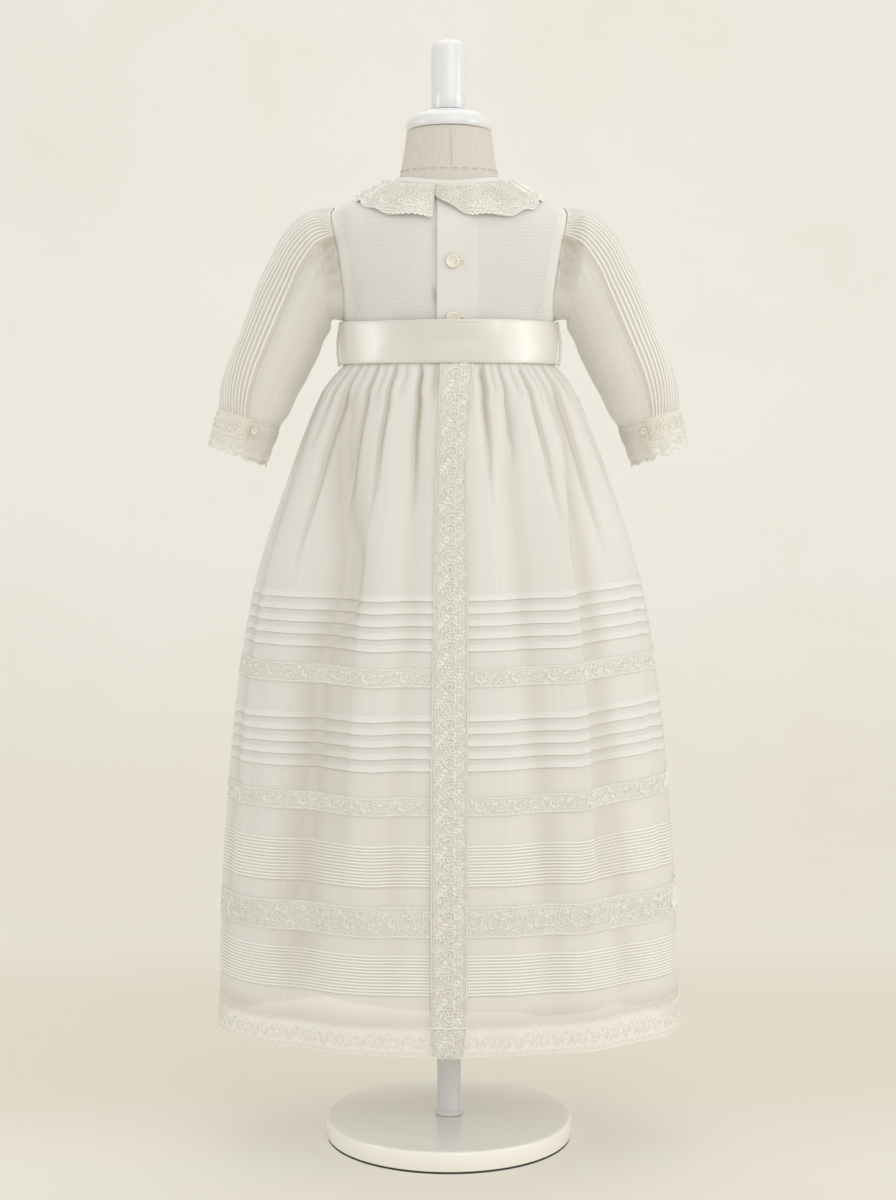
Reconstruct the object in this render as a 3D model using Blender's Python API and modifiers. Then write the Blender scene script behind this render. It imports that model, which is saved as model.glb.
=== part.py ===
"""A long christening gown buttoned up the back, worn by a limbless infant dress form.

The gown's back faces -Y and its front +Y, and the underside of the stand is at z = 0.
Angles round the body run from the centre back towards +X. All lengths are in metres.
"""
import math

import bmesh
import bpy
import numpy as np
from mathutils import Vector

QUARTER = math.pi / 2
HALF = math.pi
FULL = 2 * math.pi

# Cloth and the way it is stacked
SEAM_GAP = 0.0003        # between pieces that are sewn to or lie on each other
ORGANZA = 0.0012         # wall of the organza and of what is made up with it
LACE = 0.0010            # wall of the lace
RIBBON = 0.0012          # wall of the satin sash
BODY_SLACK = 0.0009      # by which the form is slimmer under the bodice than above it
BODY_EASE = 0.0009       # between the body's surface and the bodice
BODICE_FACE = BODY_EASE + ORGANZA
PLACKET_FACE = BODICE_FACE + SEAM_GAP + ORGANZA

# Stand
BASE_RADIUS = 0.1025
BASE_TOP = 0.0180
BASE_EDGE = 0.0030
PAD_HEIGHT = 0.0015
PAD_INSET = 0.0010
POLE_RADIUS = 0.0100
POST_RADIUS = 0.0146
POST_LENGTH = 0.0560
POST_EDGE = 0.0045
NECK_TOP = 0.8300
NECK_TILT = math.radians(5)        # the neck's cut leans towards the front
CAP_CLEARANCE = 0.0005
# radius, height of the domed cap from the post's foot down to its underside
CAP_DOME = ((POST_RADIUS, 0.0172), (0.0235, 0.0146), (0.0312, 0.0092), (0.0350, 0.0030),
            (0.0343, 0.0))

# Bodice and sash
BODY_FOOT = 0.5300
WAIST = 0.6600
NECKLINE_BACK = 0.7835
NECKLINE_SIDE = 0.7880
NECKLINE_FRONT = 0.7780
ARMHOLE_MID = 0.7232
ARMHOLE_HALF = 0.0433
ARMHOLE_REACH = math.radians(17)   # how far the armhole runs in from the side seam
ARMHOLE_CREST = 0.0010             # the sleeve head stands clear of the shoulder's bend
BINDING_WIDTH = 0.0045
SASH_FOOT = 0.6430
SASH_HEIGHT = 0.0342
SASH_BULGE = 0.0032                # its upper edge rides over the lowest button
SASH_BULGE_REACH = math.radians(24)
LOOP_WIRE = 0.0005
# x, height down a belt loop, which stands off the sash it holds
LOOP_ROUTE = ((0.0886, 0.6770), (0.0895, 0.6725), (0.0907, 0.6665), (0.0914, 0.6600),
              (0.0914, 0.6530), (0.0912, 0.6465), (0.0912, 0.6410))

# Back opening
PLACKET_LINES = (-0.0096, 0.0, 0.0120, 0.0240)
BUTTON_RADIUS = 0.0057
BUTTON_THICK = 0.0020
BUTTON_X = 0.0030
BUTTON_LEVELS = (0.7735, 0.7224, 0.6780)

# Collar of gathered lace
COLLAR_WIDTH = 0.0235
COLLAR_WAVES = 22
COLLAR_PUFF = 0.0071               # how far the lace stands off the form below its root
COLLAR_FALL = 0.0044               # how far its outer edge does
COLLAR_RUFFLE = 0.0026
COLLAR_SIDE_LOSS = 0.52            # share of its drop that it loses towards the shoulders
COLLAR_BEND = 0.22                 # share of the way down at which it turns over
COLLAR_ROOT_REACH = math.radians(34)    # its root rides over the placket this far round
COLLAR_FALL_REACH = math.radians(30)    # and its edge stands off this far round
COLLAR_START = math.radians(-8)    # its two ends meet over the placket's edge
COLLAR_GAP = math.radians(1)
COLLAR_END = 0.30                  # share of its drop at the rounded end
COLLAR_CURVE = math.radians(28)    # the overlapping end is rounded off over this angle

# Skirt, its rows given at the centre back
WAIST_GATHERS = 48
GATHER_SHELTER = math.radians(14)  # no gathers under the centre-back lace
HEM_SEAM = 0.1185
HEM_LACE_FOOT = 0.0958
LINING_HEM = (0.0050, 0.0130, 0.0060)   # above the seam at the sides, more at the back, wave
WIDE_TUCK_TOPS = (0.4623, 0.3681)
WIDE_TUCK_DEPTH = 0.0054
WIDE_TUCK_PITCH = 0.00982
WIDE_TUCK_LIP = 0.0009
WIDE_TUCKS = 5
PINTUCK_TOPS = (0.2638, 0.1762)
PINTUCK_PITCH = 0.00258
PINTUCK_RIDGE = 0.0006
PINTUCKS = 13
LACE_BANDS = ((0.4037, 0.3895), (0.3024, 0.2882), (0.2158, 0.1913))
STRIP_LIFT = 0.0015                # clears the lips of the tucks beneath it
STRIP_LEVELS = (0.6340, 0.6200, 0.6050, 0.5850, 0.5550, 0.5200, 0.4880, 0.2450, 0.1600)
STRIP_TUCK_DROP = 0.0250           # it follows the skirt again halfway down a set of tucks

# Sleeve
TUCKS_A_SIDE = 8
SLEEVE_TUCK_RIDGE = 0.0007
CUFF_WAVES = 10
CUFF_RUFFLE = 0.0018
CUFF_BUTTON_RADIUS = 0.0027
CUFF_BUTTON_THICK = 0.0016
CUFF_BUTTON_TURN = math.radians(106)

# Mesh fineness
SKIRT_TURNS = (0, 11, 22, 29.5, 37, 45, 53, 62.5, 72, 81, 90, 99, 108, 119, 130, 141, 152, 164,
               176, 188, 200, 213, 226, 238, 250, 260, 270, 283, 296, 308.5, 321, 330, 339,
               349.5)              # degrees: the folds' crests and valleys and the flanks between
GATHER_COLUMNS = 2 * WAIST_GATHERS
BODY_COLUMNS = 24
SLEEVE_UNDER_STEPS = 8
CUFF_COLUMNS = 20
TURNED_STEPS = 28
POST_STEPS = 20
BUTTON_STEPS = 14


class Profile:
    """A table whose first column is height; the others are smooth curves of it that turn
    only where the table does."""

    def __init__(self, *rows):
        table = np.array(sorted(rows))
        self.heights = table[:, 0]
        self.values = table[:, 1:]
        steps = np.diff(self.values, axis=0) / np.diff(self.heights)[:, None]
        turning = steps[:-1] * steps[1:] <= 0
        spread = np.where(turning, 1.0, steps[:-1] + steps[1:])
        inner = np.where(turning, 0.0, 2 * steps[:-1] * steps[1:] / spread)
        self.slopes = np.vstack((steps[:1], inner, steps[-1:]))

    def at(self, height):
        height = min(max(height, self.heights[0]), self.heights[-1])
        row = int(np.searchsorted(self.heights, height, side="right")) - 1
        row = min(row, len(self.heights) - 2)
        span = self.heights[row + 1] - self.heights[row]
        s = (height - self.heights[row]) / span
        start, end = self.values[row], self.values[row + 1]
        leaving, arriving = self.slopes[row] * span, self.slopes[row + 1] * span
        return (start * (2 * s**3 - 3 * s**2 + 1) + leaving * (s**3 - 2 * s**2 + s)
                + end * (3 * s**2 - 2 * s**3) + arriving * (s**3 - s**2))


# height, half width, half depth, squareness
TORSO = Profile(
    (0.5300, 0.0640, 0.0480, 2.1),
    (0.5360, 0.0730, 0.0560, 2.2),
    (0.5500, 0.0790, 0.0605, 2.2),
    (0.5900, 0.0810, 0.0620, 2.2),
    (0.6300, 0.0812, 0.0620, 2.3),
    (0.6600, 0.0825, 0.0625, 2.3),
    (0.6760, 0.0831, 0.0625, 2.3),
    (0.6950, 0.0845, 0.0622, 2.6),
    (0.7200, 0.0883, 0.0615, 3.0),
    (0.7450, 0.0920, 0.0585, 3.0),
    (0.7560, 0.0936, 0.0550, 2.8),
    (0.7630, 0.0938, 0.0510, 2.6),
    (0.7665, 0.0920, 0.0485, 2.5),
    (0.7695, 0.0868, 0.0460, 2.4),
    (0.7764, 0.0708, 0.0410, 2.3),
    (0.7840, 0.0552, 0.0367, 2.2),
    (0.7880, 0.0462, 0.0347, 2.1),
    (0.7915, 0.0415, 0.0336, 2.0),
    (0.8000, 0.0390, 0.0330, 2.0),
    (0.8150, 0.0363, 0.0325, 2.0),
    (0.8300, 0.0343, 0.0322, 2.0),
)

# height, half width, half depth, squareness, share of the folds' full depth
SKIRT = Profile(
    (0.0900, 0.1921, 0.1020, 2.0, 0.45),
    (0.1300, 0.1914, 0.1030, 2.0, 0.50),
    (0.1993, 0.1892, 0.1040, 2.0, 0.60),
    (0.2669, 0.1849, 0.1035, 2.0, 0.70),
    (0.3339, 0.1790, 0.1015, 2.0, 0.80),
    (0.4005, 0.1710, 0.0985, 2.0, 0.90),
    (0.4585, 0.1603, 0.0950, 2.0, 1.00),
    (0.4914, 0.1518, 0.0925, 2.0, 1.00),
    (0.5406, 0.1351, 0.0880, 2.0, 0.90),
    (0.5898, 0.1174, 0.0830, 2.1, 0.60),
    (0.6100, 0.1094, 0.0800, 2.1, 0.40),
    (0.6226, 0.1032, 0.0768, 2.2, 0.25),
    (0.6340, 0.0945, 0.0715, 2.2, 0.10),
    (0.6400, 0.0885, 0.0682, 2.3, 0.00),
    (0.6425, 0.0862, 0.0665, 2.3, 0.00),
    (0.6440, 0.0862, 0.0665, 2.3, 0.00),
    (0.6600, 0.0862, 0.0665, 2.3, 0.00),
)

# height, how much higher the rows of tucks and lace lie at the sides than at the back
SIDE_LIFT = Profile(
    (0.0900, -0.0020),
    (0.1600, -0.0020),
    (0.2600, 0.0004),
    (0.3600, 0.0018),
    (0.3900, 0.0044),
    (0.4600, 0.0058),
    (0.5400, 0.0030),
    (0.6200, 0.0000),
    (0.6600, 0.0000),
)

# angle and half width in degrees, height at the deepest level
FOLDS = (
    (-64, 16, 0.0025),
    (-39, 13, -0.0070),
    (-21, 12, 0.0035),
    (22, 10, -0.0015),
    (37, 12, 0.0050),
    (53, 13, -0.0060),
    (72, 12, 0.0020),
    (108, 16, 0.0030),
    (130, 14, -0.0060),
    (152, 15, 0.0040),
    (176, 14, -0.0040),
    (200, 15, 0.0040),
    (226, 15, -0.0065),
    (250, 14, 0.0030),
)

# height, gather height
GATHERS = Profile(
    (0.5850, 0.0000),
    (0.6050, 0.0007),
    (0.6180, 0.0014),
    (0.6300, 0.0018),
    (0.6400, 0.0018),
    (0.6427, 0.0000),
    (0.6600, 0.0000),
)

# height, centre, half width of the centre-back lace
STRIP = Profile(
    (0.0960, -0.0004, 0.0120),
    (0.1250, 0.0000, 0.0142),
    (0.2000, 0.0001, 0.0147),
    (0.3100, 0.0002, 0.0147),
    (0.4500, 0.0014, 0.0138),
    (0.5100, 0.0014, 0.0131),
    (0.5700, 0.0022, 0.0122),
    (0.6226, 0.0050, 0.0128),
    (0.6425, 0.0064, 0.0132),
)

# outer x, outer z, inner x, inner z, half depth, first and last tuck (degrees from the top)
SLEEVE = (
    (0.1106, 0.7679, 0.0953, 0.6795, 0.0320, 32, 58),
    (0.1240, 0.7607, 0.0965, 0.6730, 0.0350, 29, 57),
    (0.1359, 0.7470, 0.0988, 0.6682, 0.0370, 24, 57),
    (0.1540, 0.7123, 0.1054, 0.6544, 0.0365, 15, 65),
    (0.1698, 0.6710, 0.1161, 0.6316, 0.0330, 14, 72),
    (0.1848, 0.6332, 0.1298, 0.6059, 0.0300, 30, 79),
    (0.1880, 0.6165, 0.1358, 0.5965, 0.0285, 40, 82),
    (0.1880, 0.6085, 0.1382, 0.5937, 0.0265, 45, 84),
)
SHOULDER_TUCKS = (34, 58)
# outer x, outer z, inner x, inner z, half depth
CUFF_BAND = (
    (0.1883, 0.6077, 0.1386, 0.5928, 0.0262),
    (0.1934, 0.5905, 0.1440, 0.5768, 0.0258),
)
CUFF_FRILL = (
    (0.1935, 0.5901, 0.1442, 0.5764, 0.0258),
    (0.1976, 0.5781, 0.1502, 0.5606, 0.0268),
)


# ---------------------------------------------------------------- scene and materials
for old in list(bpy.data.objects):
    bpy.data.objects.remove(old)

parts = bpy.data.collections.new("christening_gown_on_dress_form")
bpy.context.scene.collection.children.link(parts)


def finish(name, colour, roughness, metallic=0.0):
    material = bpy.data.materials.new(name)
    material.use_nodes = True
    shader = material.node_tree.nodes["Principled BSDF"]
    shader.inputs["Base Color"].default_value = (*colour, 1.0)
    shader.inputs["Roughness"].default_value = roughness
    shader.inputs["Metallic"].default_value = metallic
    return material


organza = finish("ivory_organza", (0.78, 0.75, 0.69), 0.75)
lining_cloth = finish("ivory_lining", (0.80, 0.77, 0.71), 0.80)
lace_cloth = finish("ivory_lace", (0.74, 0.69, 0.57), 0.85)
satin = finish("ivory_satin", (0.84, 0.80, 0.72), 0.35)
pearl = finish("pearl_button", (0.86, 0.82, 0.72), 0.25)
linen = finish("natural_linen", (0.62, 0.56, 0.46), 0.90)
enamel = finish("white_enamel", (0.86, 0.87, 0.88), 0.20)
rubber = finish("black_rubber", (0.03, 0.03, 0.03), 0.70)


def place(name, mesh, material):
    piece = bpy.data.objects.new(name, mesh)
    piece.data.materials.append(material)
    parts.objects.link(piece)
    return piece


# ---------------------------------------------------------------- ways of making a piece
def lace_rows(bm, first, second, closed):
    """Join two rows of vertices with triangles, each step taking the shorter crossing."""
    if closed:
        first, second = first + first[:1], second + second[:1]
    i = j = 0
    while i < len(first) - 1 or j < len(second) - 1:
        if i == len(first) - 1 or j == len(second) - 1:
            on_first = j == len(second) - 1
        elif len(first) == len(second):
            on_first = i <= j
        else:
            ahead = (first[i + 1].co - second[j].co).length
            across = (first[i].co - second[j + 1].co).length
            on_first = ahead <= across
        if on_first:
            bm.faces.new((first[i], second[j], first[i + 1]))
            i += 1
        else:
            bm.faces.new((first[i], second[j], second[j + 1]))
            j += 1


def mesh_from(bm, name):
    bmesh.ops.recalc_face_normals(bm, faces=bm.faces)
    mesh = bpy.data.meshes.new(name)
    bm.to_mesh(mesh)
    bm.free()
    mesh.shade_smooth()
    mesh.set_sharp_from_angle(angle=math.radians(40))
    return mesh


def wall(name, outer_rows, inner_rows, closed, material):
    """A cloth wall: an outer and an inner skin of point rows, joined along every edge."""
    bm = bmesh.new()
    outer, inner = [[[bm.verts.new(point) for point in row] for row in rows]
                    for rows in (outer_rows, inner_rows)]
    for skin in (outer, inner):
        for upper, lower in zip(skin, skin[1:]):
            lace_rows(bm, upper, lower, closed)
    for end in (0, -1):
        lace_rows(bm, outer[end], inner[end], closed)
        if not closed:
            lace_rows(bm, [row[end] for row in outer], [row[end] for row in inner], False)
    return place(name, mesh_from(bm, name), material)


def solid_of_rings(name, rings, material):
    """A closed solid through rings of equal count, with a flat face at each end."""
    bm = bmesh.new()
    loops = [[bm.verts.new(point) for point in ring] for ring in rings]
    for lower, upper in zip(loops, loops[1:]):
        lace_rows(bm, lower, upper, True)
    bm.faces.new(loops[0])
    bm.faces.new(loops[-1])
    return place(name, mesh_from(bm, name), material)


def turned(name, outline, material, steps=TURNED_STEPS):
    """A solid of revolution; the outline runs from the top of the axis down the outside."""
    mesh = bpy.data.meshes.new(name)
    edges = [(i, i + 1) for i in range(len(outline) - 1)]
    mesh.from_pydata([(radius, 0, height) for radius, height in outline], edges, [])
    piece = place(name, mesh, material)
    screw = piece.modifiers.new("turn", "SCREW")
    screw.steps = screw.render_steps = steps
    screw.use_merge_vertices = True
    screw.merge_threshold = 0.00005
    return piece


def rounded(radius, height, corner, steps=3):
    """An outline's rounded upper corner, from level to upright."""
    turns = [QUARTER * (1 - i / steps) for i in range(steps + 1)]
    return [(radius - corner + corner * math.cos(turn), height - corner + corner * math.sin(turn))
            for turn in turns]


def squircle(half_width, half_depth, squareness, angle):
    across, along = math.sin(angle), math.cos(angle)
    power = 2 / squareness
    return (math.copysign(half_width * abs(across) ** power, across),
            -math.copysign(half_depth * abs(along) ** power, along))


def face_normal(surface, angle, height, step=0.0004):
    turn = step / 0.1
    around = np.subtract(surface(angle + turn, height), surface(angle - turn, height))
    upward = np.subtract(surface(angle, height + step), surface(angle, height - step))
    normal = np.cross(around, upward)
    return normal / np.linalg.norm(normal)


def off(surface, angle, height, out):
    """The surface's point at an angle and a height, moved out along its normal."""
    return np.array(surface(angle, height)) + out * face_normal(surface, angle, height)


def turns_between(first, last, steps):
    return [first + (last - first) * i / steps for i in range(steps + 1)]


def part_at_seam(point, sides):
    """Hold a point half a seam gap inside the side and centre seams of its panel."""
    x, y, z = point
    half = SEAM_GAP / 2
    if "left" in sides:
        x = min(x, -half)
    if "right" in sides:
        x = max(x, half)
    if "back" in sides:
        y = min(y, -half)
    if "front" in sides:
        y = max(y, half)
    return x, y, z


# first and last angle in quarter turns, and the seams that bound the panel
PANELS = {
    "back_right": (0, 1, ("right", "back")),
    "front": (1, 3, ("front",)),
    "back_left": (3, 4, ("left", "back")),
}


# ---------------------------------------------------------------- stand
def build_stand():
    pad_radius = BASE_RADIUS - PAD_INSET
    turned("base_pad", [(0, PAD_HEIGHT), (pad_radius, PAD_HEIGHT), (pad_radius, 0), (0, 0)],
           rubber)
    underside = PAD_HEIGHT + SEAM_GAP
    turned("stand_base", [(0, BASE_TOP)] + rounded(BASE_RADIUS, BASE_TOP, BASE_EDGE)
           + [(BASE_RADIUS, underside), (0, underside)], enamel)
    low, high = BASE_TOP + SEAM_GAP, BODY_FOOT - SEAM_GAP
    bpy.ops.mesh.primitive_cylinder_add(vertices=POST_STEPS, radius=POLE_RADIUS,
                                        depth=high - low, location=(0, 0, (low + high) / 2))
    pole = bpy.context.object
    pole.name = "stand_pole"
    pole.data.materials.append(enamel)
    for other in list(pole.users_collection):
        other.objects.unlink(pole)
    parts.objects.link(pole)


# ---------------------------------------------------------------- dress form
BODICE_LEVELS = (0.6606, 0.6799, 0.6900, 0.7080, 0.7280, 0.7460, 0.7600, 0.7665, 0.7715, 0.7765)
BELOW_BODICE = (BODY_FOOT, 0.5360, 0.5500)
ABOVE_BODICE = (0.7800, 0.7840, 0.7880, 0.7915, 0.8050)


def torso(angle, height):
    half_width, half_depth, squareness = TORSO.at(height)
    return (*squircle(half_width, half_depth, squareness, angle), height)


def build_form():
    turns = turns_between(0, FULL, BODY_COLUMNS)[:-1]
    rings = [[torso(turn, level) for turn in turns] for level in BELOW_BODICE]
    rings += [[off(torso, turn, level, -BODY_SLACK) for turn in turns] for level in BODICE_LEVELS]
    rings += [[torso(turn, level) for turn in turns] for level in ABOVE_BODICE]
    rim = [torso(turn, NECK_TOP) for turn in turns]
    rings.append([(x, y, z - y * math.tan(NECK_TILT)) for x, y, z in rim])
    solid_of_rings("form_body", rings, linen)
    dome_top = CAP_DOME[0][1]
    cap = turned("neck_cap", [(0, dome_top), *CAP_DOME, (0, 0)], enamel)
    post_foot = dome_top + SEAM_GAP
    post_top = post_foot + POST_LENGTH
    post = turned("top_post", [(0, post_top)] + rounded(POST_RADIUS, post_top, POST_EDGE)
                  + [(POST_RADIUS, post_foot), (0, post_foot)], enamel, POST_STEPS)
    for piece in (cap, post):
        piece.location = (0, 0, NECK_TOP + CAP_CLEARANCE)
        piece.rotation_euler.x = -NECK_TILT


# ---------------------------------------------------------------- bodice
def neckline(angle):
    back = (1 + math.cos(angle)) / 2
    level = NECKLINE_BACK * back + NECKLINE_FRONT * (1 - back)
    middle = (NECKLINE_BACK + NECKLINE_FRONT) / 2
    return level + math.sin(angle) ** 2 * (NECKLINE_SIDE - middle)


def armhole_inset(height):
    """How far the bodice's edge is turned in from the side seam."""
    rise = (height - ARMHOLE_MID) / ARMHOLE_HALF
    return ARMHOLE_REACH * math.sqrt(max(0.0, 1 - rise * rise))


def bodice_skin(panel, out):
    first, last, sides = PANELS[panel]
    columns = (last - first) * BODY_COLUMNS // 4
    rows = []
    for level in BODICE_LEVELS + (None,):
        inset = 0 if level is None else armhole_inset(level)
        start = first * QUARTER + (inset if first % 2 else 0)
        end = last * QUARTER - (inset if last % 2 else 0)
        turns = turns_between(start, end, columns)
        row = [off(torso, turn, neckline(turn) if level is None else level, out)
               for turn in turns]
        rows.append([part_at_seam(point, sides) for point in row])
    return rows


def torso_angle(x, height):
    """The angle at which the back of the torso has the given x."""
    half_width, _, squareness = TORSO.at(height)
    return math.copysign(math.asin((abs(x) / half_width) ** (squareness / 2)), x)


def placket_skin(out):
    rows = []
    for level in BODICE_LEVELS + (NECKLINE_BACK,):
        rows.append([off(torso, torso_angle(x, level), level, out) for x in PLACKET_LINES])
    return rows


def seat_button(name, radius, thickness, point, normal):
    """A round button lying on a point, its face turned along the normal."""
    button = turned(name, [(0, thickness), (0.8 * radius, thickness), (radius, 0.6 * thickness),
                           (0.9 * radius, 0), (0, 0)], pearl, BUTTON_STEPS)
    button.location = point
    button.rotation_mode = "QUATERNION"
    button.rotation_quaternion = Vector(normal).to_track_quat("Z", "Y")


def build_bodice():
    for panel in PANELS:
        wall("bodice_" + panel, bodice_skin(panel, BODICE_FACE), bodice_skin(panel, BODY_EASE),
             False, organza)
    wall("back_placket", placket_skin(PLACKET_FACE), placket_skin(BODICE_FACE + SEAM_GAP),
         False, organza)
    for number, level in enumerate(BUTTON_LEVELS, 1):
        turn = torso_angle(BUTTON_X, level)
        seat_button("back_button_%d" % number, BUTTON_RADIUS, BUTTON_THICK,
                    off(torso, turn, level, PLACKET_FACE + SEAM_GAP),
                    face_normal(torso, turn, level))
    turns = turns_between(0, FULL, BODY_COLUMNS)[:-1]
    edges = (BINDING_WIDTH, SEAM_GAP)
    outer, inner = [[[off(torso, turn, neckline(turn) + rise, out) for turn in turns]
                     for rise in edges] for out in (BODICE_FACE, BODY_EASE)]
    wall("neck_binding", outer, inner, True, organza)


# ---------------------------------------------------------------- collar
def near_opening(angle, reach):
    """1 at the centre back, easing to 0 at the reach."""
    turn = math.remainder(angle, FULL)
    return max(0.0, 1 - (abs(turn) / reach) ** 4)


def collar_skin(thickness):
    turns = turns_between(COLLAR_START, COLLAR_START + FULL - COLLAR_GAP, 3 * COLLAR_WAVES)
    rows = [[], [], []]
    for turn in turns:
        drop = COLLAR_WIDTH * (1 - COLLAR_SIDE_LOSS * math.sin(turn) ** 2)
        rounding = math.sqrt((turn - COLLAR_START) / COLLAR_CURVE)
        drop *= min(1.0, COLLAR_END + (1 - COLLAR_END) * rounding)
        wave = 0.5 - 0.5 * math.cos(COLLAR_WAVES * (turn - COLLAR_START))
        over_placket = (SEAM_GAP + ORGANZA) * near_opening(turn, COLLAR_ROOT_REACH)
        root = BODICE_FACE + SEAM_GAP + over_placket
        rise = (COLLAR_PUFF - COLLAR_FALL) * near_opening(turn, COLLAR_FALL_REACH)
        fall = COLLAR_FALL + rise
        stands = (root, COLLAR_PUFF + 0.3 * COLLAR_RUFFLE * wave, fall + COLLAR_RUFFLE * wave)
        for row, share, stand in zip(rows, (0.0, COLLAR_BEND, 1.0), stands):
            level = neckline(turn) - 0.0006 - share * drop
            row.append(off(torso, turn, level, stand + thickness))
    return rows


def build_collar():
    wall("collar_lace", collar_skin(LACE), collar_skin(0), False, lace_cloth)


# ---------------------------------------------------------------- sleeves
def ring_point(station, turn, out):
    """A point on a sleeve section; the turn runs from the outer edge over the back."""
    outer_x, outer_z, inner_x, inner_z, half_depth = station[:5]
    centre = Vector((outer_x + inner_x, 0, outer_z + inner_z)) / 2
    arm = Vector((outer_x - inner_x, 0, outer_z - inner_z)) / 2
    across = arm.normalized()
    normal = across * (half_depth * math.cos(turn)) - Vector((0, arm.length * math.sin(turn), 0))
    normal.normalize()
    return centre + arm * math.cos(turn) - Vector((0, half_depth * math.sin(turn), 0)) + out * normal


def armhole_point(turn, widen, out):
    """A point on or just outside the armhole's edge, off the bodice."""
    angle = QUARTER - (ARMHOLE_REACH + 18 * widen) * abs(math.sin(turn))
    height = ARMHOLE_MID + (ARMHOLE_HALF + 0.8 * widen) * math.cos(turn)
    crest = ARMHOLE_CREST * max(0.0, math.cos(turn)) ** 4
    x, y, z = off(torso, angle, height, out + crest)
    return Vector((x, math.copysign(y, -math.sin(turn)), z))


def sleeve_turns(first, last, steps):
    """Turns round a sleeve section, its tucks shared over a number of steps on each side."""
    first, last = math.radians(first), math.radians(last)
    tucks = turns_between(first, last, steps)
    under = turns_between(last, FULL - last, SLEEVE_UNDER_STEPS)[1:-1]
    return [0] + tucks + under + [FULL - turn for turn in reversed(tucks)]


def sleeve_ridges():
    """How far each turn of the outer skin stands out: a ridge and a groove for each tuck."""
    tucks = [SLEEVE_TUCK_RIDGE * (i % 2) for i in range(2 * TUCKS_A_SIDE + 1)]
    return [0] + tucks + [0] * (SLEEVE_UNDER_STEPS - 1) + tucks


def mirrored(rows, side):
    return [[(side * x, y, z) for x, y, z in row] for row in rows]


def build_sleeve(side_name, side):
    root_out = BODICE_FACE + SEAM_GAP
    fine, coarse = 2 * TUCKS_A_SIDE, 2
    outer = [[armhole_point(turn, ORGANZA, root_out)
              for turn in sleeve_turns(*SHOULDER_TUCKS, fine)]]
    inner = [[armhole_point(turn, 0, root_out) for turn in sleeve_turns(*SHOULDER_TUCKS, coarse)]]
    for station in SLEEVE:
        tucks = station[5:]
        outer.append([ring_point(station, turn, ridge)
                      for turn, ridge in zip(sleeve_turns(*tucks, fine), sleeve_ridges())])
        inner.append([ring_point(station, turn, -ORGANZA)
                      for turn in sleeve_turns(*tucks, coarse)])
    wall("sleeve_" + side_name, mirrored(outer, side), mirrored(inner, side), True, organza)


def build_cuff(side_name, side):
    turns = turns_between(0, FULL, CUFF_COLUMNS)[:-1]
    outer, inner = [[[ring_point(station, turn, out) for turn in turns] for station in CUFF_BAND]
                    for out in (0, -ORGANZA)]
    wall("cuff_band_" + side_name, mirrored(outer, side), mirrored(inner, side), True, lace_cloth)
    turns = turns_between(0, FULL, 3 * CUFF_WAVES)[:-1]
    outer, inner = [[[ring_point(CUFF_FRILL[0], turn, out) for turn in turns],
                     [ring_point(CUFF_FRILL[1], turn,
                                 out - CUFF_RUFFLE * (0.5 - 0.5 * math.cos(CUFF_WAVES * turn)))
                      for turn in turns]] for out in (0, -LACE)]
    wall("cuff_lace_" + side_name, mirrored(outer, side), mirrored(inner, side), True, lace_cloth)
    middle = tuple((a + b) / 2 for a, b in zip(*CUFF_BAND))
    seat = ring_point(middle, CUFF_BUTTON_TURN, SEAM_GAP)
    face = ring_point(middle, CUFF_BUTTON_TURN, 1) - ring_point(middle, CUFF_BUTTON_TURN, 0)
    seat_button("cuff_button_" + side_name, CUFF_BUTTON_RADIUS, CUFF_BUTTON_THICK,
                (side * seat.x, seat.y, seat.z), (side * face.x, face.y, face.z))


# ---------------------------------------------------------------- skirt
def skirt_plain(angle, height):
    """The skirt's outer face without its gathers."""
    half_width, half_depth, squareness, fold_share = SKIRT.at(height)
    rise = 0.0
    for place_of_fold, half, depth in FOLDS:
        away = math.remainder(angle - math.radians(place_of_fold), FULL) / math.radians(half)
        if abs(away) < 1:
            rise += depth * (0.5 + 0.5 * math.cos(HALF * away))
    x, y = squircle(half_width, half_depth, squareness, angle)
    outward = Vector((x / half_width**2, y / half_depth**2)).normalized()
    return (x + outward.x * rise * fold_share, y + outward.y * rise * fold_share, height)


def skirt(angle, height):
    """The skirt's outer face with its gathers."""
    x, y, z = skirt_plain(angle, height)
    away = abs(math.remainder(angle, FULL))
    shelter = min(1.0, max(0.0, (away - GATHER_SHELTER) / math.radians(4)))
    uneven = 1 + 0.30 * math.sin(5 * angle + 1) + 0.18 * math.sin(11 * angle)
    wave = 0.5 + 0.5 * math.cos(WAIST_GATHERS * angle)
    rise = GATHERS.at(height)[0] * shelter * uneven * wave
    outward = Vector((x, y)).normalized()
    return (x + outward.x * rise, y + outward.y * rise, z)


def at_level(angle, level):
    """The height at an angle of a row that is level at the centre back."""
    return level + SIDE_LIFT.at(level)[0] * math.sin(angle) ** 2


SKIRT_RADIANS = [math.radians(turn) for turn in SKIRT_TURNS]
GATHER_LEVELS = (0.6390, 0.6270, 0.6100)
UPPER_LEVELS = (WAIST - SEAM_GAP, 0.6427) + GATHER_LEVELS + (0.5850, 0.5100)
INNER_LEVELS = (WAIST - SEAM_GAP, 0.6427, 0.6200, 0.5850, 0.5100)


def wide_tucks(top):
    """Levels down a set of wide tucks, each with how far it stands out."""
    rows = [(top, 0)]
    for tuck in range(WIDE_TUCKS):
        foot = top - WIDE_TUCK_DEPTH - tuck * WIDE_TUCK_PITCH
        rows += [(foot, WIDE_TUCK_LIP), (foot - 0.0004, 0)]
    return rows


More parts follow.
